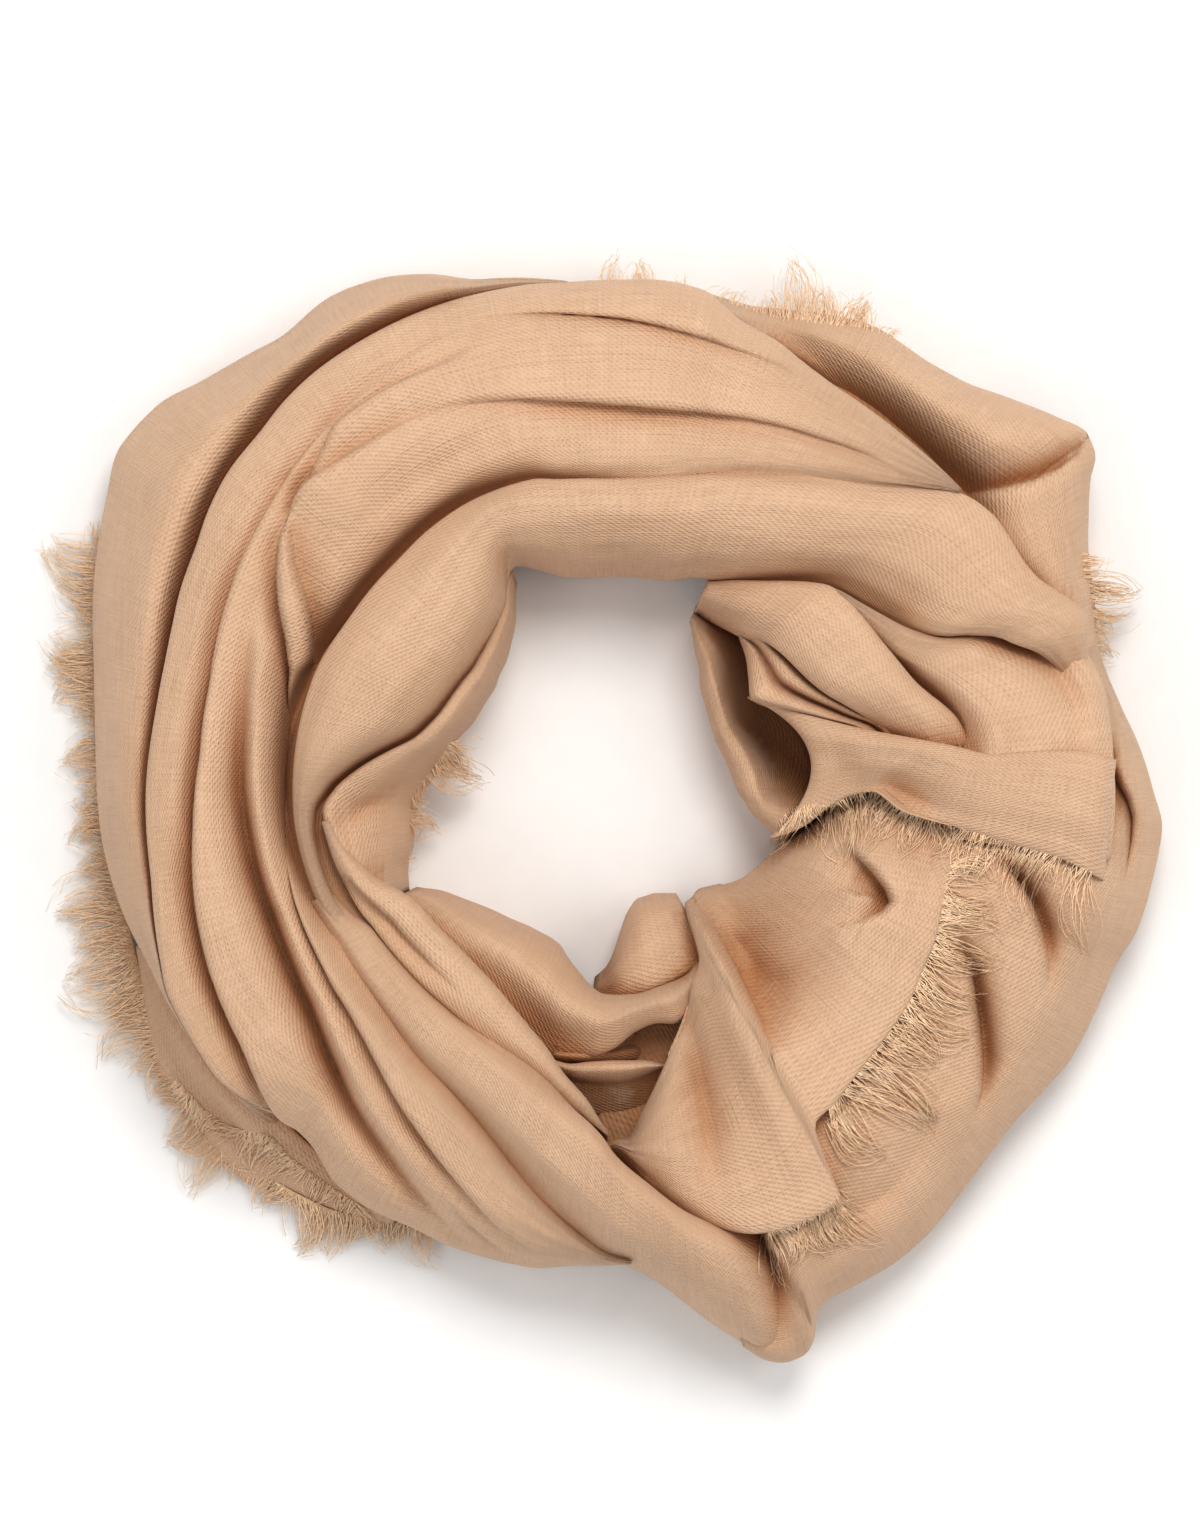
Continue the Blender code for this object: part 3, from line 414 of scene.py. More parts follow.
        cut=(0.04, 0.138), nodes=("under_hem",), at=(198, 209, 220, 231, 243),
        edge="hem_edge", inner="hem_foot",
        foot_out=((1,), (-2,)),
        rows=((0.0, (2, 3, 4, 3, 2)),
              (0.2, (6, 9, 11, 8, 6)),
              (0.45, (9, 13, 12, 13, 10)),
              (0.7, (13, 17, 20, 16, 12)),
              (1.0, (14, 20, 22, 18, 12))),
        foot_in=((8,), (-3,))),
}

# Creases and soft folds on a stretch: the width in mm of the slope on the left and on the
# right of the line (a negative width is a crisp lip), how far its lip hangs over the crease,
# and (angle, distance, depth) points. A negative depth is a ridge.
CREASES = {
    "left_band": (
        ("valley_1", 4.6, 4.6, 0,
         ((94, 180, 0), (99, 181, 6), (106, 181.5, 10), (114, 181.5, 13), (125, 181, 15),
          (135, 176.5, 16), (145, 172, 15), (155, 166.5, 13), (163, 163, 11), (172, 162, 8),
          (182, 163, 5), (192, 164.5, 3), (204, 171, 0))),
    ),
    "wrap": (
        ("pleat_2", 7, -1.6, 2.6,
         ((228, 163.8, 4), (223, 162.8, 9), (215, 156.8, 14), (205, 153.8, 15), (195, 150.3, 15),
          (185, 146.3, 14), (175, 143.8, 13), (165, 144.8, 11), (155, 148.8, 9), (145, 153.3, 7),
          (135, 158.3, 5), (130, 160.8, 4), (124, 163.8, 3), (118, 166.8, 2), (110, 169.8, 2),
          (104, 169.3, 0))),
        ("crease_a", -1.5, 8, 2.6,
         ((108, 171, 0), (100, 169, 4), (95, 167.5, 7), (90, 166, 9), (85, 164, 8),
          (80, 161.5, 6), (75, 159.5, 4), (66, 158, 0))),
        ("pleat_3", 6, -3.2, 0.4,
         ((254, 168, 0), (250, 164, 6), (245, 158, 11), (240, 152, 14), (235, 147, 17),
          (230, 142.5, 20), (225, 137.5, 22), (220, 133.5, 24), (215, 130.5, 26),
          (210, 129, 26), (205, 128, 26), (200, 127.5, 26), (195, 128, 26), (190, 128.5, 25),
          (185, 129, 24), (180, 130, 22), (175, 130.5, 18), (170, 131.5, 14),
          (165, 133.5, 10), (160, 136, 7), (155, 139.5, 4), (149, 142.5, 0))),
        ("pleat_4", 7, -1.6, 2.6,
         ((262, 165.8, 0), (258, 159.8, 3), (255, 156.8, 4), (250, 148.8, 6), (245, 141.8, 8),
          (240, 135.8, 9), (235, 130.8, 9), (230, 125.8, 9), (225, 121.8, 9), (220, 119.3, 9),
          (210, 117.3, 9), (200, 116.8, 10), (190, 115.8, 11), (180, 114.5, 13),
          (170, 114.8, 14), (165, 116.8, 15), (160, 119.8, 15), (155, 125.8, 14),
          (150, 134.8, 12), (147, 139.8, 11), (143, 145.8, 9), (140, 147.8, 8),
          (135, 150.8, 6), (130, 155.8, 5), (127, 159.3, 6), (120, 160.3, 6),
          (112, 159.8, 4), (106, 163.8, 0))),
        ("pleat_5", 5, -1.5, 2.6,
         ((263, 167.5, 0), (257, 166, 4), (252, 160, 4), (246, 152, 0))),
        ("knot_edge", -1.6, 14, 1.5,
         ((157, 113, 8), (155, 115, 13), (152, 119, 15), (150, 122, 15), (148, 126, 14),
          (145, 134, 11), (142, 141, 8), (139, 146, 5), (135, 149.5, 0))),
        ("crease_b_left", 7, -1.5, 1.5,
         ((141, 148.5, 0), (136, 150, 8), (130, 149, 8), (125, 148.5, 6), (120, 148, 4),
          (114, 146, 2), (108, 143, 0))),
        ("crease_b", -1.5, 10, 2.6,
         ((118, 147.5, 0), (110, 143.5, 3), (105, 141, 5), (100, 138.5, 7), (95, 136.5, 9),
          (90, 135, 10), (85, 134.5, 10), (80, 135, 9), (75, 136.5, 8), (70, 138, 6),
          (65, 140, 5), (60, 142, 4), (55, 145, 3), (48, 149, 0))),
        ("band_hollow", 13, 13, 0,
         ((147, 129, 0), (140, 127, 5), (130, 127, 7), (120, 128, 6), (112, 130, 3),
          (104, 132, 0))),
        ("top_trough", 8, 7, 0,
         ((106, 154, 0), (98, 153, 3), (90, 153, 4), (80, 152, 4), (70, 151, 3.5),
          (60, 151, 2), (50, 152, 0))),
        ("roll_shadow", 8, 8, 0,
         ((206, 111, 2), (196, 111, 4), (188, 112, 6), (176, 112.5, 8), (166, 112.5, 9),
          (158, 112, 10), (150, 111, 10), (140, 110.5, 10), (130, 111, 10), (120, 112.5, 9),
          (115, 113, 8), (110, 113.5, 6), (105, 115, 4), (100, 117, 2), (94, 120, 0))),
    ),
    "ridge": (
        ("hook_line", 6, -1.4, 2.6,
         ((234, 88.5, 0), (226, 87.7, 3), (220, 87.5, 5), (215, 88, 6), (210, 89, 6),
          (205, 92, 6), (199, 97, 4))),
    ),
    "roll": (
        ("pocket_shadow", 7, 4, 0,
         ((122, 74, 0), (130, 68, 2), (140, 65, 3), (150, 65, 3.5), (158, 67.5, 4.5),
          (164, 71, 6), (170, 79.5, 7), (175, 89, 9), (180, 98, 10), (184, 103, 6),
          (190, 104.5, 2), (198, 104, 1), (206, 100, 0))),
        ("faint_fold", 8, -2.5, 2.6,
         ((92, 113, 0), (80, 112, 1.5), (70, 117, 2), (60, 125, 2), (50, 137, 0))),
    ),
    "hook": (
        ("hook_turn", 5, 6, 0,
         ((188, 99, 1), (187, 96, 6), (185, 90, 9), (183, 85, 9), (180, 78, 7),
          (176, 70, 3))),
    ),
    "end_lower": (
        ("fold_line", 4, 8, 0,
         ((-55, 50, -1), (-55.5, 62, -2.5), (-56.5, 80, -3), (-57.5, 92, -3),
          (-58.3, 102, -2), (-59, 112, 0))),
        ("broad_hump", 12, 9, 0,
         ((-62, 62, -1), (-62, 80, -3), (-63, 100, -5), (-64, 120, -5), (-65, 140, -3))),
        ("deep_valley", -2.6, 15, 1.2,
         ((-58.8, 108, 1), (-57.9, 99, 12), (-56.8, 89, 24), (-55.8, 79, 30), (-54.9, 69, 27),
          (-54.4, 60, 15), (-54, 52, 4))),
        ("valley_arm", 8, 10, 0,
         ((-53, 84, 6), (-49, 88, 9), (-45, 90, 8), (-40, 92, 5), (-34, 94, 0))),
        ("soft_valley", 6.5, 7.5, 0,
         ((-69, 76, 2), (-72, 88, 8), (-73, 99, 13), (-73.5, 110, 15), (-74, 122, 13),
          (-75.5, 134, 8), (-78, 143, 2))),
        ("small_pocket", -1.8, 12, 1.8,
         ((-12, 82, 0), (-14.5, 86, 7), (-17, 93, 13), (-20, 100.5, 16), (-22, 103.5, 16),
          (-24.5, 102, 12), (-28, 96, 4))),
        ("far_lump", 7, 8, 0,
         ((-11, 100, 2), (-10, 106, 4), (-8, 112, 3))),
    ),
    "right_panel": (
        ("loop_edge", 6, -1.6, 1.2,
         ((-69.8, 203, 3), (-70, 190, 7), (-70.5, 178, 7), (-71.2, 168, 5),
          (-72, 160, 2))),
        ("slit_upper", -2.6, 5, 1.6,
         ((-26, 168, 0), (-21, 162, 8), (-18, 157.5, 18), (-15, 151, 21), (-12.5, 144, 17),
          (-10.5, 136, 5))),
        ("slit_lower", -2.6, 5, 1.6,
         ((-43, 171, 0), (-39, 165, 9), (-36, 159.5, 18), (-33, 152.5, 21), (-30, 146, 19),
          (-26.5, 139, 13), (-24, 132, 5))),
        ("soft_shadow", 10, 10, 0,
         ((-44, 158, 0), (-50, 165, 6), (-56, 170, 9), (-62, 169, 6), (-67, 164, 0))),
        ("panel_ripple", 9, 9, 0,
         ((-20, 172, 0), (-24, 176, 2.5), (-30, 178, 3), (-36, 178, 0))),
        ("edge_slit", -2.0, 8, 2.0,
         ((6, 174, 2), (3, 174.5, 9), (1, 176.5, 14), (-1, 180, 15), (-3, 182, 14),
          (-6, 182, 9), (-11, 180, 0))),
    ),
    "shoulder": (
        ("shoulder_dip", 6, 9, 0,
         ((23.5, 136, 1), (22.5, 142, 5), (20.5, 149, 8), (18, 155, 9), (15, 160, 9),
          (11, 163, 8), (7, 163, 4), (2, 160, 0))),
        ("valley_e", 7, 7, 0,
         ((5, 130, 0), (7, 125.5, 4), (10, 123, 7), (15, 117, 8), (20, 110.5, 7),
          (25, 107, 5), (32, 104.5, 3), (40, 103, 0))),
    ),
    "end_upper": (
        ("soft_patch", 9, 8, 0,
         ((3.8, 93, 2), (1.8, 95.5, 8), (0, 100, 13), (-1.6, 106, 11), (-3.8, 113, 4))),
    ),
    "corner": (
        ("corner_fold", 8, -1.7, 2.6,
         ((40.5, 157, 8), (39.3, 163, 12), (37.8, 172, 15), (36.4, 182, 17),
          (35.8, 192, 17), (35.9, 200, 13), (36.8, 207, 5))),
        ("corner_valley", 11, 11, 0,
         ((40, 160, 6), (48, 160, 12), (54, 161, 12), (60, 163, 9), (66, 168, 5),
          (72, 174, 2))),
        ("corner_ripple", 9, 9, 0,
         ((44, 196, 0), (43, 188, -2), (42.5, 178, -2.5), (42, 168, 0))),
    ),
}

# The core's outer and inner sides, every 20 degrees, and its section: how far in, height.
CORE_OUTER = (172, 162, 166, 166, 158, 166, 180, 192, 178, 166, 156, 150, 148, 139, 152, 173,
              168, 172, 172)
CORE_INNER = (74, 74, 72, 84, 90, 86, 89, 68, 70, 82, 92, 76, 68, 86, 64, 90, 88, 76, 74)
CORE_SIDE = ((3.0, 0.4), (0.0, 3.0), (0.4, 6.0), (2.8, 7.4), (0.2, 9.0), (0.6, 13.0),
             (3.2, 14.4), (0.8, 16.4), (1.4, 21.0), (3.6, 22.6), (1.6, 24.6), (3.0, 29.0),
             (9.0, 32.0), (20.0, 34.0), (32.0, 34.5))

# Fringe: the cloth's edge that it hangs from and the tips of its tufts, both in millimetres
# (x, y, height); "on" fringe lies on the cloth under it, at that height above it.
FRINGES = {
    "left": dict(
        of="left_band", nodes=("fringe_left",), on=False, count=2800, tuck=6.0,
        root=((-172, 94, 6), (-178, 66, 6), (-179, 36, 6), (-178, 5, 6), (-175, -26, 6),
              (-170, -52, 7), (-164, -72, 8), (-157, -90, 8), (-149, -106, 8),
              (-138, -121, 8), (-124, -133, 9), (-108, -143, 9), (-90, -150, 9),
              (-70, -152, 8), (-58, -154, 7)),
        tips=((-180, 100, 3), (-197, 91, 2), (-193, 80, 2), (-186, 72, 3), (-196, 57, 2),
              (-197, 50, 3), (-194, 37, 2), (-186, 33, 3), (-190, 15, 2), (-186, 2, 2),
              (-187, -12, 2), (-184, -24, 2), (-193, -39, 2), (-186, -50, 3),
              (-189, -61, 2), (-190, -68, 2), (-177, -72, 4), (-172, -80, 3),
              (-177, -89, 2), (-166, -93, 3), (-158, -104, 3), (-153, -119, 2),
              (-145, -138, 1.5), (-140, -130, 4), (-131, -132, 2), (-122, -141, 2),
              (-106, -158, 1.5), (-96, -160, 1.5), (-91, -154, 3), (-74, -156, 2),
              (-59, -165, 1.5), (-52, -158, 3))),
    "left_inner": dict(
        of="under_hem", nodes=(), on=True, count=420, tuck=1.0,
        root=((-150, -96, 2), (-139, -108, 2), (-127, -115, 2), (-118, -116, 2),
              (-108, -125, 2), (-97, -133, 2), (-84, -142, 2)),
        tips=((-157, -104, 1.0), (-146, -112, 1.0), (-141, -115, 1.5), (-122, -128, 1.5),
              (-117, -133, 1.5), (-101, -141, 1.5), (-92, -146, 1.5), (-78, -150, 1.0))),
    "top": dict(
        of="corner", nodes=("fringe_top",), on=False, count=800, tuck=5.0,
        root=((4, 178, 24), (18, 178, 26), (31, 176, 28), (49, 172, 30), (62, 171, 31),
              (76, 172, 31), (90, 169.5, 30), (100, 165, 29), (106, 160, 28)),
        tips=((4.5, 194, 12), (14, 191, 14), (29, 184.5, 20), (49, 181, 22), (58, 180, 22),
              (68, 193, 14), (78, 183, 22), (94.5, 178, 20), (105, 168, 20),
              (110, 161, 22))),
    "right": dict(
        of="corner", nodes=("fringe_right",), on=False, count=420, tuck=3.0,
        root=((170, 88, 40), (170.5, 79, 38), (170, 68, 34), (169, 55, 32), (170, 46, 30)),
        tips=((176, 86, 34), (189.5, 74, 12), (187.5, 67, 10), (180, 61, 14),
              (181, 52, 12), (175, 45, 16))),
    "hole": dict(
        of="hook", nodes=("fringe_hole",), on=False, count=420, tuck=3.0,
        root=((-50, 20, 40), (-56, 14, 34), (-62, 7, 30), (-67, 1, 26), (-71, -6, 24),
              (-74, -14, 22), (-75, -21, 20), (-72, -26, 20)),
        tips=((-41, 18.5, 26), (-33, 15.5, 16), (-46, 9.5, 22), (-39.5, 8.5, 14),
              (-62, 0, 22), (-64, -11, 18), (-57, -8, 12), (-66, -18, 18),
              (-68, -25, 14))),
    "end_upper": dict(
        of="end_upper", nodes=("fringe_end_upper",), on=True, count=470, tuck=0.6,
        root=((62, -6, 0), (70.5, 0, 0), (80.8, 0, 0), (88.5, 3.7, 0), (95, 4.6, 0),
              (106, -2.4, 0), (124.5, -7.9, 0), (142, -13.2, 0), (159.5, -18.3, 0),
              (171, -23, 0)),
        tips=((58, -19, 1.5), (66.5, -23, 1.5), (77, -15, 1.2), (84.5, -19, 1.2),
              (94.5, -14, 1.0), (106, -16, 1.0), (117, -17, 1.0), (129, -26, 1.2),
              (141, -30, 1.2), (149, -39, 1.0), (159, -27, 1.0), (189, -39, 1.0),
              (171, -53, 1.2), (173, -76, 1.0))),
    "end_lower": dict(
        of="end_lower", nodes=("fringe_end_lower",), on=True, count=560, tuck=0.6,
        root=((121, -20, 0), (118.7, -36.4, 0), (116.5, -47, 0), (112.4, -57, 0),
              (108.2, -67.3, 0), (102.3, -76.6, 0), (95.5, -85.5, 0), (88.6, -94.6, 0),
              (81.3, -104, 0), (77, -110.3, 0)),
        tips=((136, -25, 1.5), (137, -34, 1.5), (140, -42, 1.2), (138, -55, 1.2),
              (132, -71, 1.2), (133, -78, 1.2), (118, -89, 1.0), (116, -111, 1.2),
              (98, -122, 1.0), (94, -131, 1.0))),
    "bottom": dict(
        of="end_lower", nodes=("fringe_bottom",), on=True, count=300, tuck=0.6,
        root=((84, -134, 0), (80, -139, 0), (72, -144.5, 0), (64, -147.5, 0),
              (56, -150, 0)),
        tips=((94, -143, 1.2), (99, -153, 1.2), (88, -152, 1.2), (80, -155, 1.2),
              (67, -160, 1.0), (64, -169, 1.0), (60, -163, 1.0))),
}

# Shade is painted into the hollows, found on a map of the cloth's height, in millimetres and
# cells.
MAP_CELL = 2.5
MAP_SIZE = 180
HOLLOW_REACH = 3                  # cells read on each side of a point
HOLLOW_START, HOLLOW_DEPTH = 0.5, 9.0
HOLLOW_MOST = 0.9
# Near the outline and the hole no shade is painted, unless the cloth beyond stands high.
RIM_REACH = 11.0                  # this near the outline or the hole, nothing is a hollow
RIM_HEIGHT = 24.0                 # unless the cloth beyond is about this high
# Pieces that keep their painted shade on the side towards the hole.
SHADED_WALLS = ("cloth_inner_wall", "cloth_small", "cloth_end_lower", "cloth_hole_roll")

RIPPLE_WAVES = 9
CLOTH_RIPPLE = 0.28               # height in millimetres of the faint waves
LAYER_RIPPLE = 0.5
LAYER_SWAY = 0.6
CORE_MEAN_RADIUS = 130.0
STRAND_SIDES = 3
STRAND_TURNS = (0.0, 2.094, 4.189)
STRAND_STEPS = 7
STRAND_GAP = 0.35                 # height in millimetres of a thread over the cloth
STRAND_THICK = (0.16, 0.3)
FRINGE_SHADE = (0.88, 0.79, 0.69)  # the darkest threads' share of the fringe's colour


def smooth_curve(xs, ys, x):
    """A monotone cubic through (xs, ys), so that it never overshoots, read at x."""
    xs, ys = np.asarray(xs, float), np.asarray(ys, float)
    step = np.diff(xs)
    slope = np.diff(ys) / step
    tangent = np.zeros(len(xs))
    for k in range(1, len(xs) - 1):
        if slope[k - 1] * slope[k] > 0:
            weight = (2 * step[k] + step[k - 1], step[k] + 2 * step[k - 1])
            tangent[k] = sum(weight) / (weight[0] / slope[k - 1] + weight[1] / slope[k])
    tangent[0], tangent[-1] = slope[0], slope[-1]
    x = np.clip(x, xs[0], xs[-1])
    k = np.clip(np.searchsorted(xs, x) - 1, 0, len(xs) - 2)
    t = (x - xs[k]) / step[k]
    return ((2 * t ** 3 - 3 * t ** 2 + 1) * ys[k]
            + (t ** 3 - 2 * t ** 2 + t) * step[k] * tangent[k]
            + (3 * t ** 2 - 2 * t ** 3) * ys[k + 1]
            + (t ** 3 - t ** 2) * step[k] * tangent[k + 1])


def ring_xy(angle, radius):
    """Points of the ring as x and y in millimetres."""
    turn = np.radians(angle)
    return np.stack((CENTRE[0] + radius * np.cos(turn), CENTRE[1] + radius * np.sin(turn)), -1)


def fold_xy(name, places):
    """A fold's points at some places along it."""
    if name in END_EDGES:
        columns, angles, radii = zip(*END_EDGES[name])
        return ring_xy(smooth_curve(columns, angles, places),
                       smooth_curve(columns, radii, places))
    angles, radii = zip(*FOLDS[name])
    return ring_xy(places, smooth_curve(angles, radii, places))


def spread(values, at, places):
    """A row's values, one for each column or one for all, read smoothly along the stretch."""
    if len(values) == 1:
        return np.full(len(places), float(values[0]))
    return smooth_curve(at, values, places)


# How a long side falls from its edge to its foot: (share of the drop, inset share).
LAYERED_SIDE = ((0.1, 0.05), (0.24, 0.55), (0.33, 0.25), (0.47, 0.85), (0.58, 0.4),
                (0.74, 1.0), (0.86, 0.5), (1.0, 1.0))


def side_points(edge_at, edge_z, foot_z, lean, sheltered):
    """Points down from an edge to its foot, layered like folded cloth on a long drop."""
    drop = edge_z - foot_z
    layered = np.clip((drop - 14.0) / 10.0, 0.0, 1.0)
    points = []
    for share, inset in LAYERED_SIDE:
        plain = share if sheltered else share ** 1.6
        points.append((edge_at + lean * (plain + (inset - plain) * layered),
                       edge_z - drop * share))
    return points


def section_lines(width, data, places):
    """The lines of a stretch as (distance in from the outer edge, height) arrays."""
    at = data["at"]
    rows = [(width * share, spread(heights, at, places)) for share, heights in data["rows"]]
    foot_z, lean = (spread(values, at, places) for values in data["foot_out"])
    outer = side_points(rows[0][0], rows[0][1], foot_z, -lean, lean.mean() > 0)
    foot_z, lean = (spread(values, at, places) for values in data["foot_in"])
    inner = side_points(rows[-1][0], rows[-1][1], foot_z, -lean, lean.mean() < 0)
    lines = outer[::-1] + rows + inner
    shown = [0.0] * len(outer) + [1.0] * len(rows) + [0.0] * len(inner)
    return lines, shown


def crease_change(points, xy):
    """How deep a crease is at each xy, and how far its lip moves over it."""
    name, left, right, lip, table = points
    angles, radii, depths = (np.array(column, float) for column in zip(*table))
    count = 12 * (len(table) - 1) + 1
    place = np.linspace(0, len(table) - 1, count)
    steps = np.arange(len(table))
    path = ring_xy(np.interp(place, steps, angles), np.interp(place, steps, radii))
    kernel = np.array((1, 3, 6, 7, 6, 3, 1), float)
    padded = np.concatenate((path[:1].repeat(3, 0), path, path[-1:].repeat(3, 0)))
    path = np.stack([np.convolve(padded[:, k], kernel / kernel.sum(), "valid")
                     for k in (0, 1)], -1)
    depth = np.interp(place, steps, depths)
    reach = 3.0 * max(abs(left), abs(right), 3.0)
    low, high = path.min(0) - reach, path.max(0) + reach
    flat = xy.reshape(-1, 2)
    near = np.flatnonzero(np.all((flat > low) & (flat < high), axis=1))
    drop, shift = np.zeros(len(flat)), np.zeros_like(flat)
    if len(near) == 0:
        return drop.reshape(xy.shape[:-1]), shift.reshape(xy.shape)
    start, along = path[:-1], np.diff(path, axis=0)
    length2 = (along ** 2).sum(1) + 1e-9
    for chunk in np.array_split(near, max(len(near) // 20000, 1)):
        offset = flat[chunk][:, None, :] - start[None]
        t = np.clip((offset * along).sum(-1) / length2, 0, 1)
        gap = offset - t[..., None] * along
        distance2 = (gap ** 2).sum(-1)
        best = distance2.argmin(1)
        pick = (np.arange(len(chunk)), best)
        cross = along[best, 0] * gap[pick][:, 1] - along[best, 1] * gap[pick][:, 0]
        distance = np.sqrt(distance2[pick])
        width = np.where(cross > 0, left, right)
        deep = depth[best] + (depth[best + 1] - depth[best]) * t[pick]
        crisp = width < 0
        reached = distance / np.abs(width)
        fall = np.where(crisp, np.exp(-reached ** 2), np.exp(-np.abs(reached) ** 1.4))
        drop[chunk] = deep * fall
        ease = np.clip(deep / 8.0, 0, 1)
        pull = lip * ease * crisp * (distance / 2.2) * np.exp(1.0 - distance / 2.2)
        shift[chunk] = -gap[pick] / (distance[:, None] + 1e-6) * pull[:, None]
    return drop.reshape(xy.shape[:-1]), shift.reshape(xy.shape)


def mark_hollows(objects):
    """Painted shade: a value at each point for how far it lies below the cloth on both sides."""
    def cell_of(xy):
        return np.clip((xy / MAP_CELL + MAP_SIZE / 2).astype(int), 0, MAP_SIZE - 1).T

    heights = np.zeros((MAP_SIZE, MAP_SIZE))
    clouds = []
    for obj in objects:
        points = np.empty(len(obj.data.vertices) * 3)
        obj.data.vertices.foreach_get("co", points)
        points = points.reshape(-1, 3) / MM
        cells = cell_of(points[:, :2])
        np.maximum.at(heights, tuple(cells), points[:, 2])
        clouds.append((obj, points, cells))
    between = np.zeros_like(heights)
    for way in ((1, 0), (0, 1), (1, 1), (1, -1)):
        ahead, behind = (
            sum(np.roll(heights, (sign * step * way[0], sign * step * way[1]), (0, 1))
                for step in range(1, HOLLOW_REACH + 1)) / HOLLOW_REACH
            for sign in (1, -1))
        between = np.maximum(between, np.minimum(ahead, behind))
    for _ in range(2):
        between = sum(np.roll(between, (i, j), (0, 1))
                      for i in (-1, 0, 1) for j in (-1, 0, 1)) / 9.0
    for obj, points, cells in clouds:
        below = between[tuple(cells)] - points[:, 2]
        hollow = np.clip((below - HOLLOW_START) / HOLLOW_DEPTH, 0.0, 1.0) * HOLLOW_MOST
        outwards = points[:, :2] - CENTRE
        outwards = RIM_REACH * outwards / np.linalg.norm(outwards, axis=1)[:, None]
        for sign in (1,) if obj.name in SHADED_WALLS else (1, -1):
            beyond = cell_of(points[:, :2] + sign * outwards)
            hollow *= np.clip(heights[tuple(beyond)] / RIM_HEIGHT, 0.0, 1.0)
        layer = obj.data.attributes.new("hollow", "FLOAT", "POINT")
        layer.data.foreach_set("value", hollow)


def ripples(rng, along, across, size):
    """Faint uneven waves that run mostly along the cloth."""
    wave = np.zeros(np.broadcast_shapes(along.shape, across.shape))
    for _ in range(RIPPLE_WAVES):
        long_wave = rng.uniform(45, 130)
        short_wave = rng.uniform(9, 26) * rng.choice((-1, 1))
        phase = rng.uniform(0, FULL_TURN)
        wave = wave + np.sin(FULL_TURN * (along / long_wave + across / short_wave) + phase)
    return size * wave / 3.0


def loft_grid(outer_xy, inner_xy, data, places, seed):
    """The cloth's points and its own coordinates: a grid of sections and lines."""
    across = inner_xy - outer_xy
    width = np.linalg.norm(across, axis=1)
    inwards = across / width[:, None]
    lines, shown = section_lines(width, data, places)
    distance = np.stack([line[0] for line in lines], 1)
    height = np.stack([line[1] for line in lines], 1)
    chord = np.hypot(np.diff(distance, axis=1), np.diff(height, axis=1)).mean(0)
    knots = np.concatenate(([0.0], np.cumsum(np.maximum(chord, 0.4))))
    count = max(int(knots[-1] / GRID_ACROSS), 12)
    spots = np.linspace(0, knots[-1], count)
    rows = len(places)
    fine = np.empty((rows, count, 2))
    for k in range(rows):
        fine[k, :, 0] = smooth_curve(knots, distance[k], spots)
        fine[k, :, 1] = smooth_curve(knots, height[k], spots)
    mask = np.interp(spots, knots, shown)[None, :]
    xy = outer_xy[:, None, :] + inwards[:, None, :] * fine[..., 0:1]
    z = fine[..., 1]
    if "bow" in data:
        share = np.clip(fine[..., 0] / width[:, None], 0, 1)
        bow = spread(data["bow"], data["at"], places)[:, None] * 4 * share * (1 - share)
        sideways = np.stack((-inwards[:, 1], inwards[:, 0]), -1)
        xy = xy + sideways[:, None, :] * bow[..., None]
    flat_xy = xy
    for crease in CREASES.get(data["name"], ()):
        drop, shift = crease_change(crease, flat_xy)
        z = z - drop * mask
        xy = xy + shift * mask[..., None]
    step = np.linalg.norm(np.diff(xy, axis=0), axis=2).mean(1)
    along = np.concatenate(([0.0], np.cumsum(step)))[:, None]
    rng = np.random.default_rng(seed)
    z = z + ripples(rng, along, spots[None, :], CLOTH_RIPPLE) * mask
    z = np.maximum(z, TABLE)
    own = np.stack((np.broadcast_to(along, z.shape), np.broadcast_to(spots, z.shape)), -1)
    return np.concatenate((xy, z[..., None]), axis=2), own


def cloth_object(name, grid, own, material):
    """A sheet object from a grid of points in millimetres, with its cloth coordinates."""
    rows, count = grid.shape[:2]
    index = np.arange(rows * count).reshape(rows, count)
    faces = np.stack((index[:-1, :-1], index[:-1, 1:], index[1:, 1:], index[1:, :-1]), -1)
    faces = faces.reshape(-1, 4)
    points = grid.reshape(-1, 3) * MM
    a, b, c = (points[faces[:, k]] for k in (0, 1, 2))
    if np.cross(b - a, c - a)[:, 2].sum() < 0:
        faces = faces[:, ::-1]
    mesh = bpy.data.meshes.new(name)
    mesh.from_pydata(points, [], faces.tolist())
    mesh.uv_layers.new(name="cloth")
    uv = own.reshape(-1, 2)[faces.reshape(-1)] * MM
    mesh.uv_layers["cloth"].data.foreach_set("uv", uv.reshape(-1))
    mesh.shade_smooth()
    mesh.materials.append(material)
    obj = bpy.data.objects.new(name, mesh)
    bpy.context.scene.collection.objects.link(obj)
    return obj


def cloth_surface():
    """The finished cloth as one tree to look down on."""
    points, faces = [], []
    for obj in bpy.data.objects:
        if obj.name.startswith("cloth_"):
            start = len(points)
            points.extend(v.co for v in obj.data.vertices)
            faces.extend([start + k for k in face.vertices] for face in obj.data.polygons)
    return BVHTree.FromPolygons(points, faces)


def path_point(path, share):
    """Points of a path at some shares of its length, and the way it runs there."""
    path = np.array(path, float)
    length = np.concatenate(([0.0], np.cumsum(np.linalg.norm(np.diff(path[:, :2], axis=0),
                                                             axis=1))))
    spots = np.asarray(share) * length[-1]
    at = np.stack([smooth_curve(length, path[:, k], spots) for k in range(3)], -1)
    ahead = np.stack([smooth_curve(length, path[:, k], spots + 0.5) for k in range(2)], -1)
    behind = np.stack([smooth_curve(length, path[:, k], spots - 0.5) for k in range(2)], -1)
    way = ahead - behind
    return at, way / np.linalg.norm(way, axis=1)[:, None]


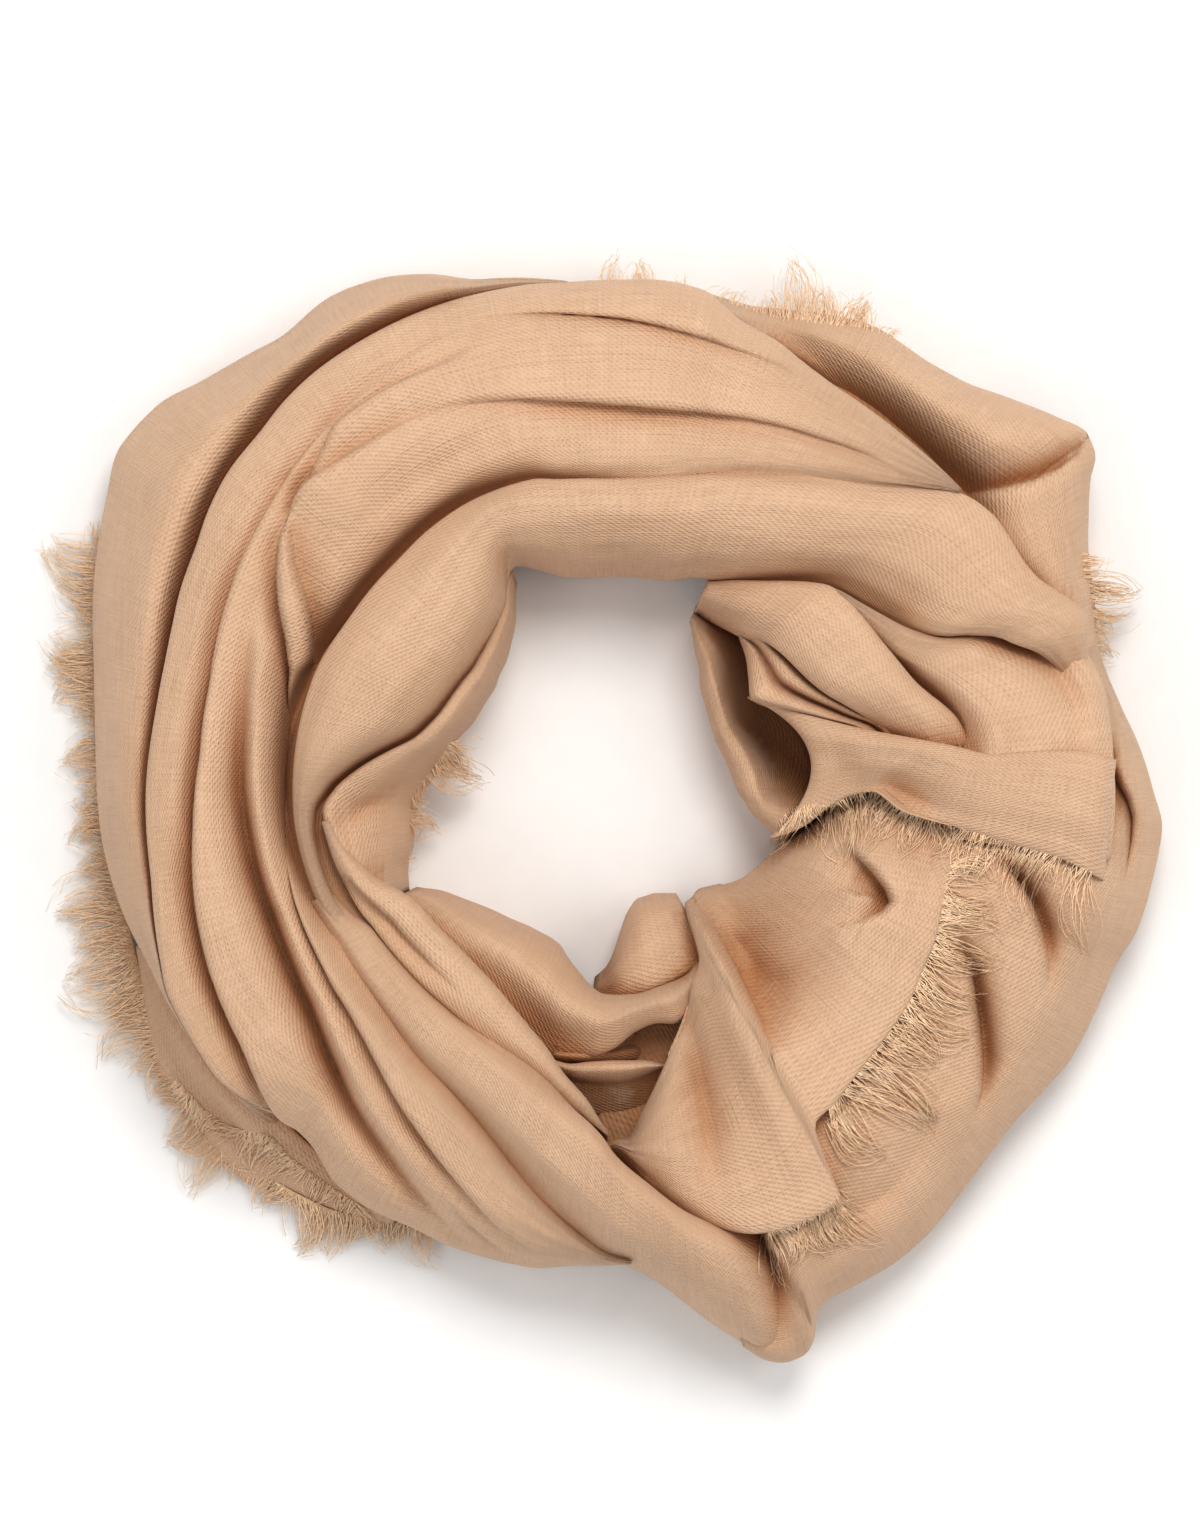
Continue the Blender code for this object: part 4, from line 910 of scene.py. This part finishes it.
def fringe_mesh(data, surface, rng):
    """Loose threads that leave the edge side by side and gather into uneven tufts."""
    tips = np.array(data["tips"], float)
    fine, _ = path_point(data["root"], np.linspace(0, 1, 300))
    gaps = np.linalg.norm(tips[:, None, :2] - fine[None, :, :2], axis=2)
    home = np.sort(gaps.argmin(1)) / 299.0
    share = rng.uniform(0, 1, data["count"])
    start, way = path_point(data["root"], share)
    side = np.sign(np.cross(way, tips[np.abs(home[None] - share[:, None]).argmin(1), :2]
                            - start[:, :2]).mean())
    out = np.stack((-way[:, 1], way[:, 0]), -1) * side
    start[:, :2] -= out * data["tuck"]
    stray = rng.normal(0, 0.014, (len(share), 1))
    near = np.argsort(np.abs(home[None] - share[:, None] + stray), axis=1)[:, 0]
    tip = tips[near]
    tuft_root, _ = path_point(data["root"], home[near])
    target = tip.copy()
    spread = rng.uniform(0.05, 0.9, (len(share), 1)) ** 1.4
    target[:, :2] += (start[:, :2] - tuft_root[:, :2]) * spread
    target[:, :2] += rng.normal(0, 1.3, (len(share), 2))
    reach = np.linalg.norm(target[:, :2] - start[:, :2], axis=1)[:, None]
    curl = rng.uniform(-0.22, 0.22, len(tips))[near][:, None]
    bend = (curl + rng.normal(0, 0.12, (len(share), 1))) * reach
    across = np.stack((-(target - start)[:, 1], (target - start)[:, 0]), -1) / reach
    handle_a = start[:, :2] + out * reach * 0.38 + across * bend
    handle_b = target[:, :2] - (target - start)[:, :2] * 0.25 + across * bend * 1.6
    stop = np.where(rng.uniform(0, 1, len(share)) < 0.5, rng.uniform(0.25, 0.6, len(share)),
                    rng.uniform(0.7, 1.08, len(share)))
    lift = rng.uniform(0.2, 1.0, len(share)) * np.minimum(reach[:, 0] * 0.1, 2.2)
    points, faces = [], []
    steps = np.linspace(0, 1, STRAND_STEPS)
    for k in range(len(share)):
        t = (steps * stop[k])[:, None]
        xy = ((1 - t) ** 3 * start[k, :2] + 3 * (1 - t) ** 2 * t * handle_a[k]
              + 3 * (1 - t) * t ** 2 * handle_b[k] + t ** 3 * target[k, :2])
        arch = np.sin(math.pi * t[:, 0]) * lift[k]
        if data["on"]:
            z = np.empty(STRAND_STEPS)
            for j, (x, y) in enumerate(xy):
                hit = surface.ray_cast(Vector((x * MM, y * MM, 0.2)), Vector((0, 0, -1)))[0]
                z[j] = (hit.z / MM if hit else TABLE) + STRAND_GAP
            z = z + arch + t[:, 0] * rng.uniform(0.1, 1.0)
            z[0] = z[0] - 0.7
        else:
            z = start[k, 2] + (target[k, 2] - start[k, 2]) * t[:, 0] ** 0.8 + arch
            z = np.maximum(z + rng.uniform(-1.2, 2.4) * t[:, 0] ** 0.5, 0.5)
        line = np.concatenate((xy, z[:, None]), 1)
        run = np.gradient(line, axis=0)
        run /= np.linalg.norm(run, axis=1)[:, None] + 1e-9
        left = np.cross(run, (0.0, 0.0, 1.0))
        left /= np.linalg.norm(left, axis=1)[:, None] + 1e-9
        up = np.cross(left, run)
        thick = rng.uniform(*STRAND_THICK) * (1.0 - 0.55 * steps)
        base = len(points)
        for j in range(STRAND_STEPS):
            for turn in STRAND_TURNS:
                points.append((line[j] + thick[j] * (math.cos(turn) * left[j]
                                                     + math.sin(turn) * up[j])) * MM)
        for j in range(STRAND_STEPS - 1):
            for m in range(STRAND_SIDES):
                n = (m + 1) % STRAND_SIDES
                ring = base + STRAND_SIDES * j
                following = ring + STRAND_SIDES
                faces.append((ring + m, ring + n, following + n, following + m))
        faces.append((base + 2, base + 1, base))
        last = base + STRAND_SIDES * (STRAND_STEPS - 1)
        faces.append((last, last + 1, last + 2))
    return points, faces


class Socket:
    """A shader value: sums and products of it make Math nodes."""

    def __init__(self, tree, link):
        self.tree = tree
        self.link = link

    def math(self, operation, *others):
        node = self.tree.nodes.new("ShaderNodeMath")
        node.operation = operation
        for slot, value in zip(node.inputs, (self, *others)):
            if isinstance(value, Socket):
                self.tree.links.new(value.link, slot)
            else:
                slot.default_value = value
        return Socket(self.tree, node.outputs[0])

    def clamp(self):
        return self.math("MAXIMUM", 0.0).math("MINIMUM", 1.0)

    def __add__(self, other):
        return self.math("ADD", other)

    def __sub__(self, other):
        return self.math("SUBTRACT", other)

    def __mul__(self, other):
        return self.math("MULTIPLY", other)

    def __truediv__(self, other):
        return self.math("DIVIDE", other)

    def __rsub__(self, other):
        return (self * -1.0).math("ADD", other)

    __radd__ = __add__
    __rmul__ = __mul__


class Shader:
    """A material's node tree, built by calls."""

    def __init__(self, name):
        self.material = bpy.data.materials.new(name)
        self.material.use_nodes = True
        self.tree = self.material.node_tree
        self.surface = self.tree.nodes["Principled BSDF"]

    def node(self, kind, output=0, settings=None, **inputs):
        node = self.tree.nodes.new(kind)
        for key, value in (settings or {}).items():
            setattr(node, key, value)
        for key, value in inputs.items():
            slot = node.inputs[key.replace("_", " ")] if not key.startswith("in") \
                else node.inputs[int(key[2:])]
            self.set(slot, value)
        return Socket(self.tree, node.outputs[output])

    def set(self, slot, value):
        if isinstance(value, Socket):
            self.tree.links.new(value.link, slot)
        else:
            slot.default_value = value

    def mix(self, share, first, second, blend="MIX"):
        return self.node("ShaderNodeMix", output=2,
                         settings={"data_type": "RGBA", "blend_type": blend},
                         in0=share, in6=first, in7=second)


def cloth_material(name, props):
    """Silk twill: fine slanting ribs, uneven yarns, a soft sheen and slow colour changes,
    with shade painted into the hollows of the folds.
    """
    shader = Shader(name)
    uv = shader.node("ShaderNodeUVMap", settings={"uv_map": "cloth"})
    split = shader.tree.nodes.new("ShaderNodeSeparateXYZ")
    shader.tree.links.new(uv.link, split.inputs[0])
    along, across = Socket(shader.tree, split.outputs[0]), Socket(shader.tree, split.outputs[1])
    turn = FULL_TURN / props.rib_pitch
    wander = shader.node("ShaderNodeTexNoise", Vector=uv, Scale=60.0, Detail=2.0)
    rib = ((along * 0.55 + across) * turn + wander * 5.0).math("SINE")
    yarn = (across * (turn * 1.9) + wander * 3.0).math("SINE")
    warp, weft = (
        shader.node("ShaderNodeTexNoise", Scale=1.0, Detail=3.0,
                    Vector=shader.node("ShaderNodeMapping", Vector=uv, Scale=scale))
        for scale in ((60.0, 1500.0, 1.0), (1400.0, 60.0, 1.0)))
    cloud = shader.node("ShaderNodeTexNoise", Vector=uv, Scale=26.0, Detail=3.0)
    weave = rib * 0.32 + yarn * 0.16 + (warp - 0.5) * 1.8 + (weft - 0.5) * 1.8
    dark, light, shade_colour = (tuple(colour) + (1.0,) for colour in (
        props.cloth_deep, props.cloth_colour, props.cloth_hollow))
    tone = (weave * 0.44 + (cloud - 0.5) * 0.5 + 0.58).clamp()
    # Painted shade: where the cloth lies below its neighbours it is mixed towards the shade
    # colour.
    hollow = shader.node("ShaderNodeAttribute", output=2,
                         settings={"attribute_name": "hollow"})
    colour = shader.mix(hollow, shader.mix(tone, dark, light), shade_colour)
    shader.set(shader.surface.inputs["Base Color"], colour)
    shader.set(shader.surface.inputs["Roughness"], 0.58 + weave * 0.03)
    shader.surface.inputs["Sheen Weight"].default_value = props.sheen
    shader.surface.inputs["Sheen Roughness"].default_value = 0.4
    shader.surface.inputs["Sheen Tint"].default_value = (1.0, 0.93, 0.85, 1.0)
    shader.surface.inputs["Specular IOR Level"].default_value = 0.35
    bump = shader.node("ShaderNodeBump", Strength=props.weave_bump, Distance=0.00035,
                       Height=weave)
    shader.set(shader.surface.inputs["Normal"], bump)
    return shader.material


def fringe_material(props):
    """Loose silk yarns, lighter and darker from thread to thread."""
    shader = Shader("silk_fringe")
    place = shader.node("ShaderNodeTexCoord", output=3)
    patches = shader.node("ShaderNodeTexNoise", Vector=place, Scale=900.0, Detail=1.0)
    slow = shader.node("ShaderNodeTexNoise", Vector=place, Scale=90.0, Detail=1.0)
    share = ((patches - 0.5) * 2.2 + (slow - 0.5) * 1.2 + 0.5).clamp()
    light = tuple(props.fringe_colour) + (1.0,)
    dark = tuple(a * b for a, b in zip(props.fringe_colour, FRINGE_SHADE)) + (1.0,)
    shader.set(shader.surface.inputs["Base Color"], shader.mix(share, dark, light))
    shader.surface.inputs["Roughness"].default_value = 0.6
    shader.surface.inputs["Sheen Weight"].default_value = props.sheen
    return shader.material


class ScarfSettings(bpy.types.PropertyGroup):
    cloth_colour: FloatVectorProperty(
        name="Cloth", description="Colour of the cloth where light falls on it",
        subtype="COLOR", size=3, default=(0.75, 0.525, 0.37))
    cloth_deep: FloatVectorProperty(
        name="Cloth, darker yarns", description="Colour between the yarns",
        subtype="COLOR", size=3, default=(0.56, 0.36, 0.225))
    # Painted shade: the colour the cloth turns to where it lies in the hollows of its folds.
    cloth_hollow: FloatVectorProperty(
        name="Cloth, in hollows", description="Colour deep in the folds of the thin cloth",
        subtype="COLOR", size=3, default=(0.52, 0.265, 0.125))
    fringe_colour: FloatVectorProperty(
        name="Fringe", description="Colour of the loose threads",
        subtype="COLOR", size=3, default=(1.0, 0.79, 0.58))
    rib_pitch: FloatProperty(
        name="Rib pitch", description="Distance between the twill's ribs",
        default=0.0013, unit="LENGTH")
    weave_bump: FloatProperty(
        name="Weave bump", description="Strength of the weave's relief", default=0.8)
    sheen: FloatProperty(
        name="Sheen", description="Strength of the soft sheen", default=0.12)
    seed: IntProperty(name="Seed", description="Start of the uneven detail", default=4)


def settings():
    return bpy.context.scene.scarf


class SCARF_OT_cloth(bpy.types.Operator):
    """Loft each stretch of the cloth from its folds, rows and creases"""
    bl_idname = "scarf.cloth"
    bl_label = "Cloth"

    def execute(self, context):
        material = cloth_material("silk_twill", settings())
        made = []
        for number, (name, data) in enumerate(STRETCHES.items()):
            data = dict(data, name=name)
            first, last = data["at"][0], data["at"][-1]
            rough = fold_xy(data["edge"], np.linspace(first, last, 200))
            run = np.linalg.norm(np.diff(rough, axis=0), axis=1).sum()
            places = np.linspace(first, last, max(int(run / GRID_ALONG), 24))
            outer, inner = fold_xy(data["edge"], places), fold_xy(data["inner"], places)
            grid, own = loft_grid(outer, inner, data, places, settings().seed + number)
            obj = cloth_object("cloth_" + name, grid, own, material)
            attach(obj, "root")
            if data["nodes"]:
                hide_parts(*data["nodes"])
            made.append(obj)
        for obj in made:
            shell = obj.modifiers.new("shell", "SOLIDIFY")
            shell.thickness = SHELL * MM
            shell.offset = -1.0
        return {"FINISHED"}


class SCARF_OT_hidden(bpy.types.Operator):
    """Loft the hidden layers under the cloth, with their folded edges"""
    bl_idname = "scarf.hidden"
    bl_label = "Hidden layers"

    def execute(self, context):
        material = cloth_material("silk_hidden", settings())
        places = np.arange(0.0, 360.0, 1.5)
        steps = np.arange(0, 361, 20)
        outer = smooth_curve(steps, CORE_OUTER, places)[:, None]
        inner = smooth_curve(steps, CORE_INNER, places)[:, None]
        inset, height = np.array(CORE_SIDE).T
        radius = np.concatenate((outer - inset, inner + inset[::-1]), 1)
        z = np.broadcast_to(np.concatenate((height, height[::-1])), radius.shape).copy()
        rng = np.random.default_rng(settings().seed)
        along = np.radians(places)[:, None] * CORE_MEAN_RADIUS
        z += ripples(rng, along, z, LAYER_RIPPLE) * np.clip(z - 2.0, 0, 1)
        radius += ripples(rng, along, z * 2.0, LAYER_SWAY)
        grid = np.concatenate((ring_xy(places[:, None], radius), z[..., None]), 2)
        grid = np.concatenate((grid, grid[:1]), 0)
        grid = np.concatenate((grid, grid[:, :1]), 1)
        own = np.stack(np.broadcast_arrays(
            np.concatenate((along, along[-1:] + 3.4)),
            np.arange(grid.shape[1])[None, :] * 4.0), -1)
        obj = cloth_object("hidden_layers", grid, own, material)
        bpy.ops.object.select_all(action="DESELECT")
        context.view_layer.objects.active = obj
        obj.select_set(True)
        bpy.ops.object.mode_set(mode="EDIT")
        bpy.ops.mesh.select_all(action="SELECT")
        bpy.ops.mesh.remove_doubles(threshold=0.00001)
        bpy.ops.mesh.normals_make_consistent(inside=False)
        bpy.ops.object.mode_set(mode="OBJECT")
        # Paint shade into the hollows of the hidden layers and of all the cloth.
        mark_hollows([obj] + [item for item in bpy.data.objects
                              if item.name.startswith("cloth_")])
        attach(obj, "root")
        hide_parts("core")
        return {"FINISHED"}


class SCARF_OT_fringe(bpy.types.Operator):
    """Make the loose threads of the frayed edges"""
    bl_idname = "scarf.fringe"
    bl_label = "Fringe"

    def execute(self, context):
        surface = cloth_surface()
        material = fringe_material(settings())
        for number, (name, data) in enumerate(FRINGES.items()):
            rng = np.random.default_rng(settings().seed * 100 + number)
            points, faces = fringe_mesh(data, surface, rng)
            mesh = bpy.data.meshes.new("threads_" + name)
            mesh.from_pydata(points, [], faces)
            mesh.shade_smooth()
            mesh.materials.append(material)
            obj = bpy.data.objects.new("threads_" + name, mesh)
            context.scene.collection.objects.link(obj)
            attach(obj, "root")
            if data["nodes"]:
                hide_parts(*data["nodes"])
        return {"FINISHED"}


class SCARF_OT_stage(bpy.types.Operator):
    """Add the floor, the lights and the camera"""
    bl_idname = "scarf.stage"
    bl_label = "Stage"

    def execute(self, context):
        bpy.ops.mesh.primitive_plane_add(size=6.0, location=(0, 0, 0))
        floor = context.object
        floor.name = "floor"
        paper = Shader("paper")
        place = paper.node("ShaderNodeTexCoord", output=3)
        grain = paper.node("ShaderNodeTexNoise", Vector=place, Scale=90.0)
        tone = paper.mix(grain, (0.86, 0.86, 0.86, 1), (0.9, 0.9, 0.9, 1))
        paper.set(paper.surface.inputs["Base Color"], tone)
        paper.surface.inputs["Roughness"].default_value = 0.9
        floor.data.materials.append(paper.material)
        self.light("key", (0.3, 1.2, 2.3), 1.1, 35.0, (1.0, 0.985, 0.96))
        self.light("side", (1.6, 0.2, 1.8), 1.4, 9.0, (1.0, 0.98, 0.95))
        self.light("fill", (-1.4, -0.8, 1.9), 1.6, 11.0, (0.95, 0.97, 1.0))
        world = bpy.data.worlds.new("studio")
        world.use_nodes = True
        sky = world.node_tree.nodes["Background"].inputs
        sky["Color"].default_value = (1, 1, 1, 1)
        sky["Strength"].default_value = 0.62
        context.scene.world = world
        context.scene.view_settings.view_transform = "Standard"
        context.scene.view_settings.gamma = 0.82
        camera = bpy.data.objects.new("camera", bpy.data.cameras.new("camera"))
        camera.data.lens = 300.0
        camera.data.sensor_width = 36.0
        camera.data.clip_end = 50.0
        camera.location = (0.0, 0.014, 4.4985)
        context.scene.collection.objects.link(camera)
        context.scene.camera = camera
        return {"FINISHED"}

    def light(self, name, place, size, power, colour):
        data = bpy.data.lights.new(name, "AREA")
        data.shape = "DISK"
        data.size = size
        data.energy = power
        data.color = colour
        lamp = bpy.data.objects.new(name, data)
        lamp.location = place
        lamp.rotation_euler = (-Vector(place)).to_track_quat("-Z", "Y").to_euler()
        bpy.context.scene.collection.objects.link(lamp)


class SCARF_PT_panel(bpy.types.Panel):
    """Buttons for the scarf's pieces, and its settings"""
    bl_idname = "SCARF_PT_panel"
    bl_label = "Wound silk scarf"
    bl_space_type = "VIEW_3D"
    bl_region_type = "UI"
    bl_category = "Scarf"

    def draw(self, context):
        column = self.layout.column()
        for step in STEPS:
            column.operator(step.bl_idname)
        for name in ScarfSettings.__annotations__:
            column.prop(context.scene.scarf, name)


STEPS = (SCARF_OT_cloth, SCARF_OT_hidden, SCARF_OT_fringe, SCARF_OT_stage)
CLASSES = (ScarfSettings, *STEPS, SCARF_PT_panel)


def register():
    for item in CLASSES:
        bpy.utils.register_class(item)
    bpy.types.Scene.scarf = PointerProperty(type=ScarfSettings)


def unregister():
    del bpy.types.Scene.scarf
    for item in reversed(CLASSES):
        bpy.utils.unregister_class(item)


def main():
    register()
    bpy.ops.scarf.cloth()
    bpy.ops.scarf.hidden()
    bpy.ops.scarf.fringe()
    bpy.ops.scarf.stage()


if __name__ == "__main__":
    main()
